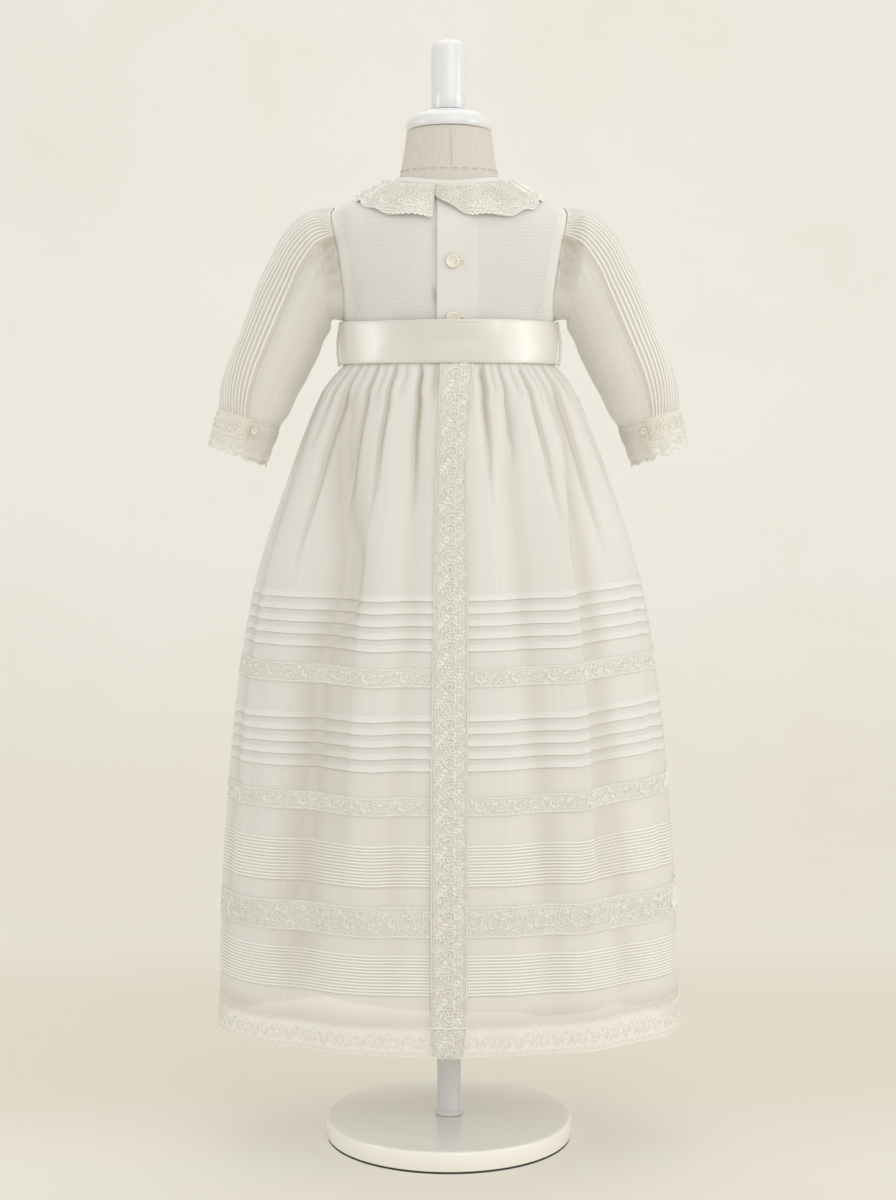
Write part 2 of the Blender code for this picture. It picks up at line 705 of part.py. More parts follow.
def pintucks(top):
    rows = [(top + PINTUCK_PITCH / 2, 0)]
    for tuck in range(PINTUCKS):
        level = top - tuck * PINTUCK_PITCH
        rows += [(level, PINTUCK_RIDGE), (level - PINTUCK_PITCH / 2, 0)]
    return rows


def skirt_loop(level, out):
    gathered = level in GATHER_LEVELS
    surface = skirt if gathered else skirt_plain
    turns = turns_between(0, FULL, GATHER_COLUMNS)[:-1] if gathered else SKIRT_RADIANS
    return [off(surface, turn, at_level(turn, level), out) for turn in turns]


def tier(number, outer_levels, inner_levels):
    """One tube of the skirt from its levels; the outer ones each with how far they stand out."""
    wall("skirt_tier_%d" % number, [skirt_loop(level, out) for level, out in outer_levels],
         [skirt_loop(level, -ORGANZA) for level in inner_levels], True, organza)


def lining_hem(angle):
    side, back, wave = LINING_HEM
    return HEM_SEAM + side + back * abs(math.cos(angle)) + wave * math.cos(
        5 * (angle + math.radians(38)))


def lining_skin(depth):
    levels = INNER_LEVELS + (LACE_BANDS[0][0], LACE_BANDS[1][0], LACE_BANDS[2][1])
    hem = [off(skirt_plain, turn, lining_hem(turn), -depth) for turn in SKIRT_RADIANS]
    return [skirt_loop(level, -depth) for level in levels] + [hem]


def skirt_angle(x, height):
    half_width, _, squareness, _ = SKIRT.at(height)
    return math.copysign(math.asin((abs(x) / half_width) ** (squareness / 2)), x)


def strip_skin(out):
    levels = [SASH_FOOT - SEAM_GAP, *STRIP_LEVELS, HEM_SEAM, HEM_LACE_FOOT]
    levels += [level for top in WIDE_TUCK_TOPS for level in (top, top - STRIP_TUCK_DROP)]
    levels += [level for band in LACE_BANDS for level in band]
    rows = []
    for level in sorted(levels, reverse=True):
        centre, half_width = STRIP.at(level)
        lines = (centre - half_width, 0.0, centre + half_width)
        rows.append([off(skirt_plain, skirt_angle(x, level), level, out) for x in lines])
    return rows


def build_skirt():
    bands = [(top + SEAM_GAP, foot - SEAM_GAP) for top, foot in LACE_BANDS]
    heads = [foot for top, foot in bands]
    feet = [top for top, foot in bands] + [HEM_SEAM + SEAM_GAP]
    upper = [(level, 0) for level in UPPER_LEVELS]
    tier(1, upper + wide_tucks(WIDE_TUCK_TOPS[0]) + [(feet[0], 0)], INNER_LEVELS + (feet[0],))
    reliefs = (wide_tucks(WIDE_TUCK_TOPS[1]), pintucks(PINTUCK_TOPS[0]), pintucks(PINTUCK_TOPS[1]))
    for number, (head, relief, foot) in enumerate(zip(heads, reliefs, feet[1:]), 2):
        tier(number, [(head, 0)] + relief + [(foot, 0)], (head, foot))
    under = ORGANZA + SEAM_GAP
    wall("skirt_lining", lining_skin(under), lining_skin(under + LACE), True, lining_cloth)
    for number, (top, foot) in enumerate(LACE_BANDS, 1):
        outer, inner = [[skirt_loop(top, out), skirt_loop(foot, out)] for out in (0, -LACE)]
        wall("lace_band_%d" % number, outer, inner, True, lace_cloth)
    outer, inner = [[skirt_loop(HEM_SEAM, out), skirt_loop(HEM_LACE_FOOT, out)]
                    for out in (0, -LACE)]
    wall("hem_lace", outer, inner, True, lace_cloth)
    wall("back_lace_strip", strip_skin(STRIP_LIFT + LACE), strip_skin(STRIP_LIFT), False,
         lace_cloth)


# ---------------------------------------------------------------- sash
def build_sash():
    def waist(angle, height):
        x, y, _ = skirt_plain(angle, WAIST)
        bulge = SASH_BULGE * near_opening(angle, SASH_BULGE_REACH)
        return x, y - bulge * max(0.0, 2 * (height - SASH_FOOT) / SASH_HEIGHT - 1), height

    levels = (SASH_FOOT + SASH_HEIGHT, SASH_FOOT + SASH_HEIGHT / 2, SASH_FOOT)
    outer, inner = [[[off(waist, turn, level, out) for turn in SKIRT_RADIANS]
                     for level in levels] for out in (SEAM_GAP + RIBBON, SEAM_GAP)]
    wall("waist_sash", outer, inner, True, satin)


def build_belt_loop(side_name, side):
    """A thread loop that holds the sash at the side."""
    curve = bpy.data.curves.new("belt_loop_" + side_name, "CURVE")
    curve.dimensions = "3D"
    curve.bevel_depth = LOOP_WIRE
    curve.bevel_resolution = 1
    curve.use_fill_caps = True
    spline = curve.splines.new("POLY")
    spline.points.add(len(LOOP_ROUTE) - 1)
    for point, (x, z) in zip(spline.points, LOOP_ROUTE):
        point.co = (side * x, 0, z, 1)
    place("belt_loop_" + side_name, curve, organza)


build_stand()
build_form()
build_bodice()
build_collar()
build_skirt()
build_sash()
for name, direction in (("left", -1), ("right", 1)):
    build_sleeve(name, direction)
    build_cuff(name, direction)
    build_belt_loop(name, direction)
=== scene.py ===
import math

import bpy
import numpy as np
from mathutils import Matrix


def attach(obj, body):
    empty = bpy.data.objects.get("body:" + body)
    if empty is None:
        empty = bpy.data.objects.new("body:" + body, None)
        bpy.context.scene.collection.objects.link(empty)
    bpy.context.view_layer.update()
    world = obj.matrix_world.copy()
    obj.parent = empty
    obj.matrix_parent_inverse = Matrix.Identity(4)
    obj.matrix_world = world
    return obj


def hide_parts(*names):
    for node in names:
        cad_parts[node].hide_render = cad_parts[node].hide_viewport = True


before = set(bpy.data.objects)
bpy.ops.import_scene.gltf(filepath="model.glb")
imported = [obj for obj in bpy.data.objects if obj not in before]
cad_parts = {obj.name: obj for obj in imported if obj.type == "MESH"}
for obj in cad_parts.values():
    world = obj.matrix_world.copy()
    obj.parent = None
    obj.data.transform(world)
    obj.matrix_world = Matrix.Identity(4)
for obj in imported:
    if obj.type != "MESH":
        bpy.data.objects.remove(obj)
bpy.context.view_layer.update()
turn = 2 * math.pi
mm = 0.001


# camera, light and floor
studio = {
    "cameraPlace": (-0.0008, -1.847, 0.6014), "lens": 67.44, "sensor": 36,
    "cameraPitch": 4.68,          # degrees below level
    "air": (1.0, 0.99, 0.965), "airStrength": 0.60,
    "lampAim": (0.0, 0.0, 0.45),
    "paperSize": 6, "paperPlace": (0, -1.0, 0), "wallHeight": 4, "bend": 1.2, "bendSteps": 24,
}
lamps = {
    "rightBox": {"place": (1.9, -0.85, 0.95), "size": 1.1, "power": 9, "colour": (1.0, 0.99, 0.965)},
    "leftBox": {"place": (-1.9, -0.6, 0.85), "size": 0.9, "power": 5.5, "colour": (1.0, 0.99, 0.975)},
    "frontFill": {"place": (0.7, -2.5, 1.7), "size": 2.2, "power": 18.5, "colour": (1.0, 0.985, 0.965)},
    "topLight": {"place": (0.0, -0.3, 2.6), "size": 2.6, "power": 7.5, "colour": (1.0, 0.99, 0.97)},
    "paperLight": {"place": (0.0, 0.7, 2.3), "size": 2.2, "power": 9, "colour": (1.0, 0.98, 0.95)},
}

scene = bpy.context.scene
scene.view_settings.view_transform = "Standard"
scene.view_settings.look = "None"
bpy.ops.object.select_all(action="DESELECT")
bpy.ops.object.camera_add(
    location=studio["cameraPlace"],
    rotation=(math.radians(90 - studio["cameraPitch"]), 0, 0))
scene.camera = bpy.context.object
scene.camera.data.lens = studio["lens"]
scene.camera.data.sensor_width = studio["sensor"]

world = bpy.data.worlds.new("studioAir")
scene.world = world
world.use_nodes = True
sky = world.node_tree.nodes["Background"].inputs
sky["Color"].default_value = (*studio["air"], 1)
sky["Strength"].default_value = studio["airStrength"]

for name, lamp in lamps.items():
    bpy.ops.object.light_add(type="AREA", location=lamp["place"])
    light = bpy.context.object
    light.name = name
    light.data.shape = "DISK"
    light.data.size = lamp["size"]
    light.data.energy = lamp["power"]
    light.data.color = lamp["colour"]
    x, y, z = np.array(studio["lampAim"]) - np.array(lamp["place"])
    light.rotation_euler = (math.atan2(math.hypot(x, y), -z), 0, math.atan2(y, x) - math.pi / 2)


# node helpers, which add to the tree that is being built
def plug(socket, value):
    if isinstance(value, bpy.types.NodeSocket):
        tree.links.new(value, socket)
    elif socket.type == "RGBA":
        socket.default_value = (*value, 1)
    else:
        socket.default_value = value


def addNode(kind, inputs=None, **settings):
    made = tree.nodes.new("ShaderNode" + kind)
    for key, value in settings.items():
        setattr(made, key, value)
    for key, value in (inputs or {}).items():
        plug(made.inputs[key], value)
    return made.outputs


def sums(operation, *values):
    made = tree.nodes.new("ShaderNodeMath")
    made.operation = operation
    for socket, value in zip(made.inputs, values):
        plug(socket, value)
    return made.outputs[0]


def plus(first, second):
    return sums("ADD", first, second)


def less(first, second):
    return sums("SUBTRACT", first, second)


def times(first, second):
    return sums("MULTIPLY", first, second)


def ramped(value, low, high, start=0.0, end=1.0):
    return addNode("MapRange", {"Value": value, "From Min": low, "From Max": high, "To Min": start, "To Max": end},
                   interpolation_type="SMOOTHSTEP")["Result"]


def mixed(factor, first, second):
    return addNode("Mix", {0: factor, 6: first, 7: second}, data_type="RGBA")[2]


def noise(vector, scale, detail, dimensions="3D", **inputs):
    return addNode("TexNoise", {"Vector": vector, "Scale": scale, "Detail": detail, **inputs},
                   noise_dimensions=dimensions)["Fac"]


def scaled(vector, scale):
    return addNode("Mapping", {"Vector": vector, "Scale": scale})["Vector"]


def markOf(name):
    return addNode("Attribute", attribute_name=name)["Fac"]


def axis(vector, name):
    return addNode("SeparateXYZ", {"Vector": vector})[name]


def effect(name, inputs, outputs):
    # begins an effect that several cloths share, as a node group
    global tree
    tree = bpy.data.node_groups.new(name, "ShaderNodeTree")
    tree.interface.new_socket("Vector", in_out="INPUT", socket_type="NodeSocketVector")
    for label, value in inputs.items():
        tree.interface.new_socket(label, in_out="INPUT", socket_type="NodeSocketFloat").default_value = value
    for label in outputs:
        tree.interface.new_socket(label, in_out="OUTPUT", socket_type="NodeSocketFloat")
    return tree, tree.nodes.new("NodeGroupInput").outputs, tree.nodes.new("NodeGroupOutput").inputs


# shared effects
# over and under threads of a plain weave, in metres of cloth
threadWeave, given, result = effect("threadWeave", {"Pitch": 0.0005, "Slub": 0.5}, ["Height"])
shift = times(less(noise(given["Vector"], 260.0, 3.0, "2D", Roughness=0.6), 0.5), times(given["Slub"], 3.0))
rate = sums("DIVIDE", turn / 2, given["Pitch"])
across, along = [sums("SINE", plus(times(axis(given["Vector"], way), rate), shift)) for way in "XY"]
plug(result["Height"], ramped(times(across, along), -1.0, 1.0))

# the fine net ground of lace: a mask of its threads
netGround, given, result = effect("netGround", {"Cells": 900.0, "Thread": 0.18, "Unevenness": 0.35}, ["Threads"])
cells = addNode("TexVoronoi", {"Vector": given["Vector"], "Scale": given["Cells"], "Randomness": given["Unevenness"]},
                voronoi_dimensions="2D", feature="DISTANCE_TO_EDGE")["Distance"]
plug(result["Threads"], less(1.0, ramped(cells, 0.0, given["Thread"])))

# threads that wander and close into loops, denser in clusters
threadMeander, given, result = effect("threadMeander", {"Size": 300.0, "Clusters": 60.0}, ["Threads", "Cluster"])
hills = noise(given["Vector"], given["Size"], 0.0, "2D", Distortion=0.6)
line = sums("ABSOLUTE", less(sums("FRACT", times(hills, 5.0)), 0.5))
cluster = ramped(noise(given["Vector"], given["Clusters"], 1.0, "2D"), 0.44, 0.60)
plug(result["Cluster"], cluster)
plug(result["Threads"], times(ramped(line, 0.19, 0.07), plus(0.55, times(cluster, 0.45))))

# slow change of tone over a piece, with faint soft marks
toneDrift, given, result = effect("toneDrift", {"Size": 6.0, "Amount": 0.05}, ["Shade", "Height"])
cloud = noise(given["Vector"], given["Size"], 4.0, Roughness=0.55)
plug(result["Shade"], plus(1.0, times(less(cloud, 0.5), times(given["Amount"], -2.0))))
plug(result["Height"], cloud)


# finishes
def finish(name, look):
    # a material from one dictionary: colour, weave, net, sheen and how much shows through
    global tree
    look = {**plainLook, **look}
    material = bpy.data.materials.new(name)
    material.use_nodes = True
    tree = material.node_tree
    shader = tree.nodes["Principled BSDF"].inputs
    for socket, value in look["sockets"].items():
        shader[socket].default_value = value
    coords = addNode("TexCoord")
    spot, base = coords["Object"], look["colour"]
    drift = addNode("Group", {"Vector": spot, "Size": look["driftSize"], "Amount": look["drift"]}, node_tree=toneDrift)
    colour = mixed(ramped(drift["Shade"], 0.9, 1.1), look["shade"], base)
    height, alpha = drift["Height"], None
    # the piece's own map, in metres of cloth
    surface = scaled(coords["UV"], (*look["cut"], 1)) if "cut" in look else spot
    if "weave" in look:
        height = addNode("Group", {"Vector": surface, "Pitch": look["weave"], "Slub": look["slub"]},
                         node_tree=threadWeave)["Height"]
        colour = mixed(times(height, look["weaveTone"]), colour, look.get("threadColour", base))
    if "moire" in look:           # faint bands where two sheer layers cross
        scale, distortion, amount, other = look["moire"]
        bands = addNode("TexWave", {"Vector": spot, "Scale": scale, "Distortion": distortion, "Detail": 2.0,
                                    "Detail Scale": 0.6}, wave_type="BANDS", bands_direction="Z")["Fac"]
        zones = ramped(noise(scaled(spot, (40, 4, 9)), 1.0, 1.0), 0.42, 0.60, 0.15, 1.0)
        colour = mixed(times(times(bands, zones), amount), colour, other)
    if "sheer" in look:           # how much of the cloth behind is hidden
        streaks = noise(scaled(surface, (260, 7, 1)), 1.0, 2.0, "2D")
        folded = markOf("folded")
        alpha = plus(times(streaks, look["streak"]), look["sheer"] - look["streak"] / 2)
        alpha = sums("MAXIMUM", alpha, times(sums("MINIMUM", times(folded, 1.45), 1.0), look["foldedCover"]))
        colour = mixed(times(sums("POWER", folded, 3.0), look["foldedTone"]), colour, look.get("foldedColour", base))
    if "net" in look:             # a ground of fine cells, with threads that wander and loop in clusters
        size, thread, unevenness, cover = look["net"]
        net = addNode("Group", {"Vector": surface, "Cells": size, "Thread": thread, "Unevenness": unevenness},
                      node_tree=netGround)["Threads"]
        wander = addNode("Group", {"Vector": surface, "Size": look["meander"][0], "Clusters": look["meander"][1]},
                         node_tree=threadMeander)
        height = sums("MAXIMUM", times(net, less(1.0, times(wander["Cluster"], 0.6))), wander["Threads"])
        alpha = plus(cover, times(sums("MAXIMUM", height, times(wander["Cluster"], 0.5)), 1 - cover))
        colour = mixed(less(1.0, height), colour, look["shade"])
    if "fade" in look:            # an even change of tone across the piece
        low, high, other = look["fade"]
        colour = mixed(ramped(axis(spot, "X"), low, high), colour, other)
    if "seamed" in look:          # lighter where the seam allowance lies behind
        colour = mixed(markOf("double"), colour, look["seamed"])
    if "paintedShadeAndStains" in look:        # painted light and shade: the paper lighter up the wall, and darker and warmer in a band behind the stand, with soft random stains
        away = axis(spot, "Y")
        colour = mixed(ramped(away, 1.1, 1.95), colour, look["wall"])
        band = times(ramped(away, -0.10, 0.16), ramped(away, 0.75, 0.42))
        stain = ramped(noise(spot, 2.6, 5.0, Roughness=0.6), 0.46, 0.72, 0.0, 0.20)
        colour = mixed(plus(band, stain), colour, look["paintedShadeAndStains"])
    if "crease" in look:          # darker between folds, where less light falls in
        hollow = markOf("hollow")
        colour = mixed(hollow, colour, look["crease"])
        if alpha is not None:
            alpha = sums("MAXIMUM", alpha, sums("MINIMUM", times(hollow, 1.6), 0.93))
    if "glow" in look:            # painted light: the paper gives off light of its own colour, which lifts the shade under the stand; its base colour is darkened to match
        plug(shader["Emission Color"], colour)
        plug(shader["Emission Strength"], look["glow"])
        colour = mixed(look["glow"], colour, (0.0, 0.0, 0.0))
    plug(shader["Base Color"], colour)
    plug(shader["Roughness"], plus(look["rough"], times(less(height, 0.5), look["roughChange"])))
    if alpha is not None:
        plug(shader["Alpha"], alpha)
    if look["relief"]:
        bump = addNode("Bump", {"Height": height, "Strength": look["relief"], "Distance": look["depth"]})
        plug(shader["Normal"], bump["Normal"])
    return material


plainLook = {"drift": 0.04, "driftSize": 7.0, "slub": 0.5, "weaveTone": 0.25, "streak": 0.12, "foldedCover": 0.92,
             "foldedTone": 0.6, "roughChange": 0.08, "relief": 0.0, "depth": 0.0002, "sockets": {}}
sheer = {"weave": 0.0007, "relief": 0.10,
         "sockets": {"Sheen Weight": 0.25, "Sheen Roughness": 0.4, "Specular IOR Level": 0.3}}
lace = {"rough": 0.8, "depth": 0.0003, "sockets": {"Sheen Weight": 0.15, "Specular IOR Level": 0.25}}
thread = {"rough": 0.75, "drift": 0.08, "driftSize": 60.0, "weave": 0.0004, "relief": 0.2}
paint = {"drift": 0.05, "driftSize": 9.0}
looks = {
    "organza": {**sheer, "colour": (0.925, 0.902, 0.868), "shade": (0.88, 0.852, 0.805), "crease": (0.61, 0.578, 0.485),
                "rough": 0.62, "sheer": 0.75, "streak": 0.06, "foldedCover": 0.94, "foldedColour": (0.985, 0.97, 0.925),
                "foldedTone": 0.85, "relief": 0.08, "weaveTone": 0.15},
    "bodiceCloth": {**sheer, "colour": (0.745, 0.73, 0.705), "shade": (0.705, 0.685, 0.655),
                    "crease": (0.46, 0.41, 0.34), "rough": 0.7, "relief": 0.12, "weaveTone": 0.15,
                    "moire": (118.0, 11.0, 0.85, (0.67, 0.65, 0.63)), "seamed": (0.93, 0.915, 0.875)},
    "placketCloth": {**sheer, "colour": (0.775, 0.76, 0.72), "shade": (0.74, 0.72, 0.68), "rough": 0.66,
                     "fade": (0.004, 0.021, (0.735, 0.72, 0.695))},
    "bandCloth": {**sheer, "colour": (0.79, 0.775, 0.73), "shade": (0.76, 0.74, 0.69), "rough": 0.62},
    "sleeveCloth": {**sheer, "colour": (0.855, 0.838, 0.785), "shade": (0.80, 0.78, 0.72), "crease": (0.56, 0.51, 0.42),
                    "rough": 0.6, "sheer": 0.66, "streak": 0.14, "foldedColour": (0.96, 0.945, 0.90),
                    "foldedTone": 1.0},
    "cuffCloth": {**sheer, "colour": (0.92, 0.90, 0.84), "shade": (0.88, 0.855, 0.79), "crease": (0.76, 0.725, 0.595),
                  "rough": 0.65, "sheer": 0.62, "streak": 0.16},
    "liningCloth": {"colour": (0.88, 0.85, 0.80), "shade": (0.83, 0.80, 0.745), "crease": (0.62, 0.575, 0.48),
                    "rough": 0.8, "weave": 0.0006, "relief": 0.08, "sockets": {"Specular IOR Level": 0.25}},
    "laceNet": {**lace, "colour": (0.98, 0.965, 0.91), "shade": (0.725, 0.70, 0.605),
                "net": (620.0, 0.26, 0.9, 0.92), "meander": (250.0, 60.0), "relief": 0.8},
    "bandNet": {**lace, "colour": (0.98, 0.965, 0.915), "shade": (0.775, 0.755, 0.675),
                "net": (620.0, 0.24, 0.9, 0.84), "meander": (280.0, 60.0), "relief": 0.6},
    "collarNet": {**lace, "colour": (0.98, 0.965, 0.92), "shade": (0.83, 0.805, 0.735), "crease": (0.74, 0.695, 0.59),
                  "net": (900.0, 0.30, 0.8, 0.66), "meander": (330.0, 80.0), "relief": 0.6, "depth": 0.0004},
    "cuffNet": {**lace, "colour": (0.95, 0.935, 0.885), "shade": (0.855, 0.83, 0.755), "crease": (0.77, 0.73, 0.575),
                "net": (900.0, 0.28, 0.8, 0.74), "meander": (330.0, 80.0), "relief": 0.5},
    "fineNet": {**lace, "colour": (0.93, 0.915, 0.865), "shade": (0.875, 0.855, 0.795),
                "net": (900.0, 0.24, 0.8, 0.54), "meander": (360.0, 70.0), "relief": 0.3,
                "sockets": {"Specular IOR Level": 0.25}},
    "laceThread": {**thread, "colour": (0.99, 0.975, 0.92), "shade": (0.955, 0.935, 0.87),
                   "sockets": {"Sheen Weight": 0.2, "Specular IOR Level": 0.3}},
    "softThread": {**thread, "colour": (0.955, 0.94, 0.885), "shade": (0.92, 0.90, 0.84),
                   "sockets": {"Specular IOR Level": 0.3}},
    "satin": {"colour": (0.815, 0.80, 0.745), "shade": (0.785, 0.765, 0.70), "crease": (0.69, 0.675, 0.615),
              "rough": 0.36, "roughChange": 0.04, "weave": 0.0004, "relief": 0.03,
              "sockets": {"Sheen Weight": 0.2, "Sheen Roughness": 0.3, "Specular IOR Level": 1.0, "Anisotropic": 0.3,
                          "Coat Weight": 0.75, "Coat Roughness": 0.30}},
    "pearl": {"colour": (0.90, 0.87, 0.76), "shade": (0.80, 0.74, 0.58), "crease": (0.50, 0.43, 0.28), "rough": 0.2,
              "drift": 0.25, "driftSize": 300.0, "roughChange": 0.05,
              "sockets": {"Coat Weight": 0.6, "Coat Roughness": 0.08, "Sheen Weight": 0.1}},
    "linenCover": {"colour": (0.70, 0.66, 0.595), "shade": (0.64, 0.595, 0.52), "threadColour": (0.76, 0.72, 0.64),
                   "rough": 0.85, "weave": 0.0009, "slub": 1.0, "relief": 0.5, "depth": 0.0003, "weaveTone": 0.5,
                   "sockets": {"Specular IOR Level": 0.2}},
    "seamThread": {"colour": (0.56, 0.52, 0.46), "shade": (0.50, 0.46, 0.40), "rough": 0.8, "weave": 0.0003,
                   "relief": 0.3},
    "sewing": {"colour": (0.88, 0.855, 0.78), "shade": (0.82, 0.79, 0.70), "rough": 0.7, "weave": 0.0003,
               "relief": 0.3},
    "enamel": {**paint, "colour": (0.81, 0.812, 0.82), "shade": (0.78, 0.782, 0.79), "rough": 0.22,
               "sockets": {"Coat Weight": 0.4, "Coat Roughness": 0.1}},
    # painted light and reflection: the stand's enamel made warmer and lighter for the base, for the warm paper it
    # mirrors and the skirt's shade over it
    "baseEnamel": {**paint, "colour": (0.97, 0.945, 0.88), "shade": (0.945, 0.915, 0.845), "rough": 0.25,
                   "sockets": {"Coat Weight": 0.4, "Coat Roughness": 0.12}},
    "rubberPad": {"colour": (0.035, 0.034, 0.033), "shade": (0.02, 0.02, 0.02), "rough": 0.7, "roughChange": 0.3,
                  "drift": 0.3, "driftSize": 200.0},
    # the paper: its floor colour, a lighter wall as painted light, and a darker band behind the stand as painted shade
    # with random stains
    "paper": {"colour": (0.796, 0.762, 0.690), "shade": (0.785, 0.745, 0.660), "wall": (0.865, 0.838, 0.768),
              "paintedShadeAndStains": (0.745, 0.697, 0.590), "glow": 0.56, "rough": 0.95, "driftSize": 2.2, "drift": 0.1,
              "sockets": {"Specular IOR Level": 0.1}},
}
finishes = {}


def finishFor(name, cut=None):
    # the same finish with the cloth's own cut, so that its weave keeps its real size
    key = name if cut is None else "%s_%dx%d" % (name, round(cut[0] * 1000), round(cut[1] * 1000))
    if key not in finishes:
        finishes[key] = finish(key, looks[name] if cut is None else {**looks[name], "cut": cut})
    return finishes[key]


# paper sweep
bpy.ops.object.select_all(action="DESELECT")
bpy.ops.mesh.primitive_plane_add(size=studio["paperSize"], location=studio["paperPlace"])
sweep = bpy.context.object
sweep.name = "paperSweep"
bpy.ops.object.mode_set(mode="EDIT")
bpy.ops.mesh.select_all(action="DESELECT")
bpy.ops.object.mode_set(mode="OBJECT")
for edge in sweep.data.edges:     # the far edge, which the wall stands on
    edge.select = all(sweep.data.vertices[i].co.y > 0.48 * studio["paperSize"] for i in edge.vertices)
bpy.ops.object.mode_set(mode="EDIT")
bpy.ops.mesh.extrude_region_move(TRANSFORM_OT_translate={"value": (0, 0, studio["wallHeight"])})
bpy.ops.object.mode_set(mode="OBJECT")
bevel = sweep.modifiers.new("bend", "BEVEL")
bevel.width = studio["bend"]
bevel.segments = studio["bendSteps"]
bevel.limit_method = "ANGLE"
bpy.ops.object.modifier_apply(modifier="bend")
bpy.ops.object.shade_smooth()
sweep.data.materials.append(finishFor("paper"))
bpy.ops.object.transform_apply(location=True, rotation=True, scale=True)
print("studio ready")


# curves and smooth forms
def smoothTable(*rows):
    # smooth curves through the table's columns, read by its first column; they turn only where it does
    table = np.array(sorted(rows), float)
    heights, values = table[:, 0], table[:, 1:]
    steps = np.diff(values, axis=0) / np.diff(heights)[:, None]
    turning = steps[:-1] * steps[1:] <= 0
    spread = np.where(turning, 1.0, steps[:-1] + steps[1:])
    slopes = np.vstack((steps[:1], np.where(turning, 0.0, 2 * steps[:-1] * steps[1:] / spread), steps[-1:]))

    def read(height):
        height = np.clip(np.asarray(height, float), heights[0], heights[-1])
        row = np.clip(np.searchsorted(heights, height, side="right") - 1, 0, len(heights) - 2)
        span = (heights[row + 1] - heights[row])[..., None]
        s = (height - heights[row])[..., None] / span
        found = (values[row] * (2 * s**3 - 3 * s**2 + 1) + slopes[row] * span * (s**3 - 2 * s**2 + s)
                 + values[row + 1] * (3 * s**2 - 2 * s**3) + slopes[row + 1] * span * (s**3 - s**2))
        return np.moveaxis(found, -1, 0)
    return read


def smoothStep(low, high, value):
    share = np.clip((value - low) / (high - low), 0, 1)
    return share * share * (3 - 2 * share)


def swell(value, middle, spread):
    # one at the middle, fading away on both sides
    return np.exp(-((value - middle) / spread) ** 2)


def normalised(vectors):
    return vectors / np.linalg.norm(vectors, axis=-1, keepdims=True)


def measured(points):
    # how far along the line every point lies
    return np.concatenate(([0], np.cumsum(np.linalg.norm(np.diff(points, axis=0), axis=-1))))


def fromCentreBack(angle):
    return np.abs((np.asarray(angle) + math.pi) % turn - math.pi)


def fromMark(angle, degrees):
    # signed degrees from a mark to an angle
    return (np.degrees(angle) - degrees + 180) % 360 - 180


def roundedOval(halfWidth, halfDepth, squareness, angle):
    side, back = np.sin(angle), np.cos(angle)
    power = 2 / squareness
    return (np.copysign(halfWidth * np.abs(side) ** power, side),
            -np.copysign(halfDepth * np.abs(back) ** power, back))


def backAngle(table, x, height):
    # the angle at which the back has that x
    halfWidth, halfDepth, squareness = table(height)[:3]
    return np.copysign(np.arcsin(np.clip(np.abs(x) / halfWidth, 0, 1) ** (squareness / 2)), x)


def standOff(form, angle, height, out=0.0):
    # a point of the form, moved out along its normal
    angle, height = np.broadcast_arrays(np.asarray(angle, float), np.asarray(height, float))
    around = form(angle + 0.004, height) - form(angle - 0.004, height)
    upward = form(angle, height + 0.0004) - form(angle, height - 0.0004)
    return form(angle, height) + np.asarray(out)[..., None] * normalised(np.cross(around, upward))


def evenAngles(form, level):
    # shares of the way round, measured along the cloth, as angles
    angles = np.linspace(0, turn, 1441)
    along = measured(form(angles, np.full_like(angles, level)))
    return (lambda share: np.interp(share, along / along[-1], angles)), along[-1]


# height, half width, half depth, squareness
torsoTable = smoothTable(
    (0.5300, 0.0640, 0.0480, 2.1), (0.5360, 0.0730, 0.0560, 2.2), (0.5500, 0.0790, 0.0605, 2.2),
    (0.5900, 0.0810, 0.0620, 2.2), (0.6300, 0.0812, 0.0620, 2.3), (0.6600, 0.0825, 0.0625, 2.3),
    (0.6760, 0.0831, 0.0625, 2.3), (0.6950, 0.0845, 0.0622, 2.6), (0.7200, 0.0883, 0.0615, 3.0),
    (0.7450, 0.0920, 0.0585, 3.0), (0.7560, 0.0936, 0.0550, 2.8), (0.7630, 0.0938, 0.0510, 2.6),
    (0.7665, 0.0920, 0.0485, 2.5), (0.7695, 0.0868, 0.0460, 2.4), (0.7764, 0.0708, 0.0410, 2.3),
    (0.7840, 0.0552, 0.0367, 2.2), (0.7880, 0.0462, 0.0347, 2.1), (0.7915, 0.0415, 0.0336, 2.0),
    (0.8000, 0.0390, 0.0330, 2.0), (0.8150, 0.0363, 0.0325, 2.0), (0.8300, 0.0343, 0.0322, 2.0))


def torso(angle, height):
    halfWidth, halfDepth, squareness = torsoTable(height)
    x, y = roundedOval(halfWidth, halfDepth, squareness, angle)
    return np.stack((x, y, height), -1)


def onBack(x, level, out):
    return standOff(torso, backAngle(torsoTable, x, level), level, out)


# height, half width, half depth, squareness, share of the big folds
skirtTable = smoothTable(
    (0.0900, 0.1921, 0.1020, 2.0, 0.45), (0.1300, 0.1914, 0.1030, 2.0, 0.50),
    (0.1993, 0.1892, 0.1040, 2.0, 0.60), (0.2669, 0.1849, 0.1035, 2.0, 0.70),
    (0.3339, 0.1790, 0.1015, 2.0, 0.80), (0.4005, 0.1710, 0.0985, 2.0, 0.90),
    (0.4585, 0.1603, 0.0950, 2.0, 1.00), (0.4914, 0.1518, 0.0925, 2.0, 1.00),
    (0.5406, 0.1351, 0.0880, 2.0, 0.90), (0.5898, 0.1174, 0.0830, 2.1, 0.60),
    (0.6100, 0.1094, 0.0800, 2.1, 0.40), (0.6226, 0.1032, 0.0768, 2.2, 0.25),
    (0.6340, 0.0945, 0.0715, 2.2, 0.10), (0.6400, 0.0885, 0.0682, 2.3, 0.00),
    (0.6425, 0.0862, 0.0665, 2.3, 0.00), (0.6600, 0.0862, 0.0665, 2.3, 0.00))
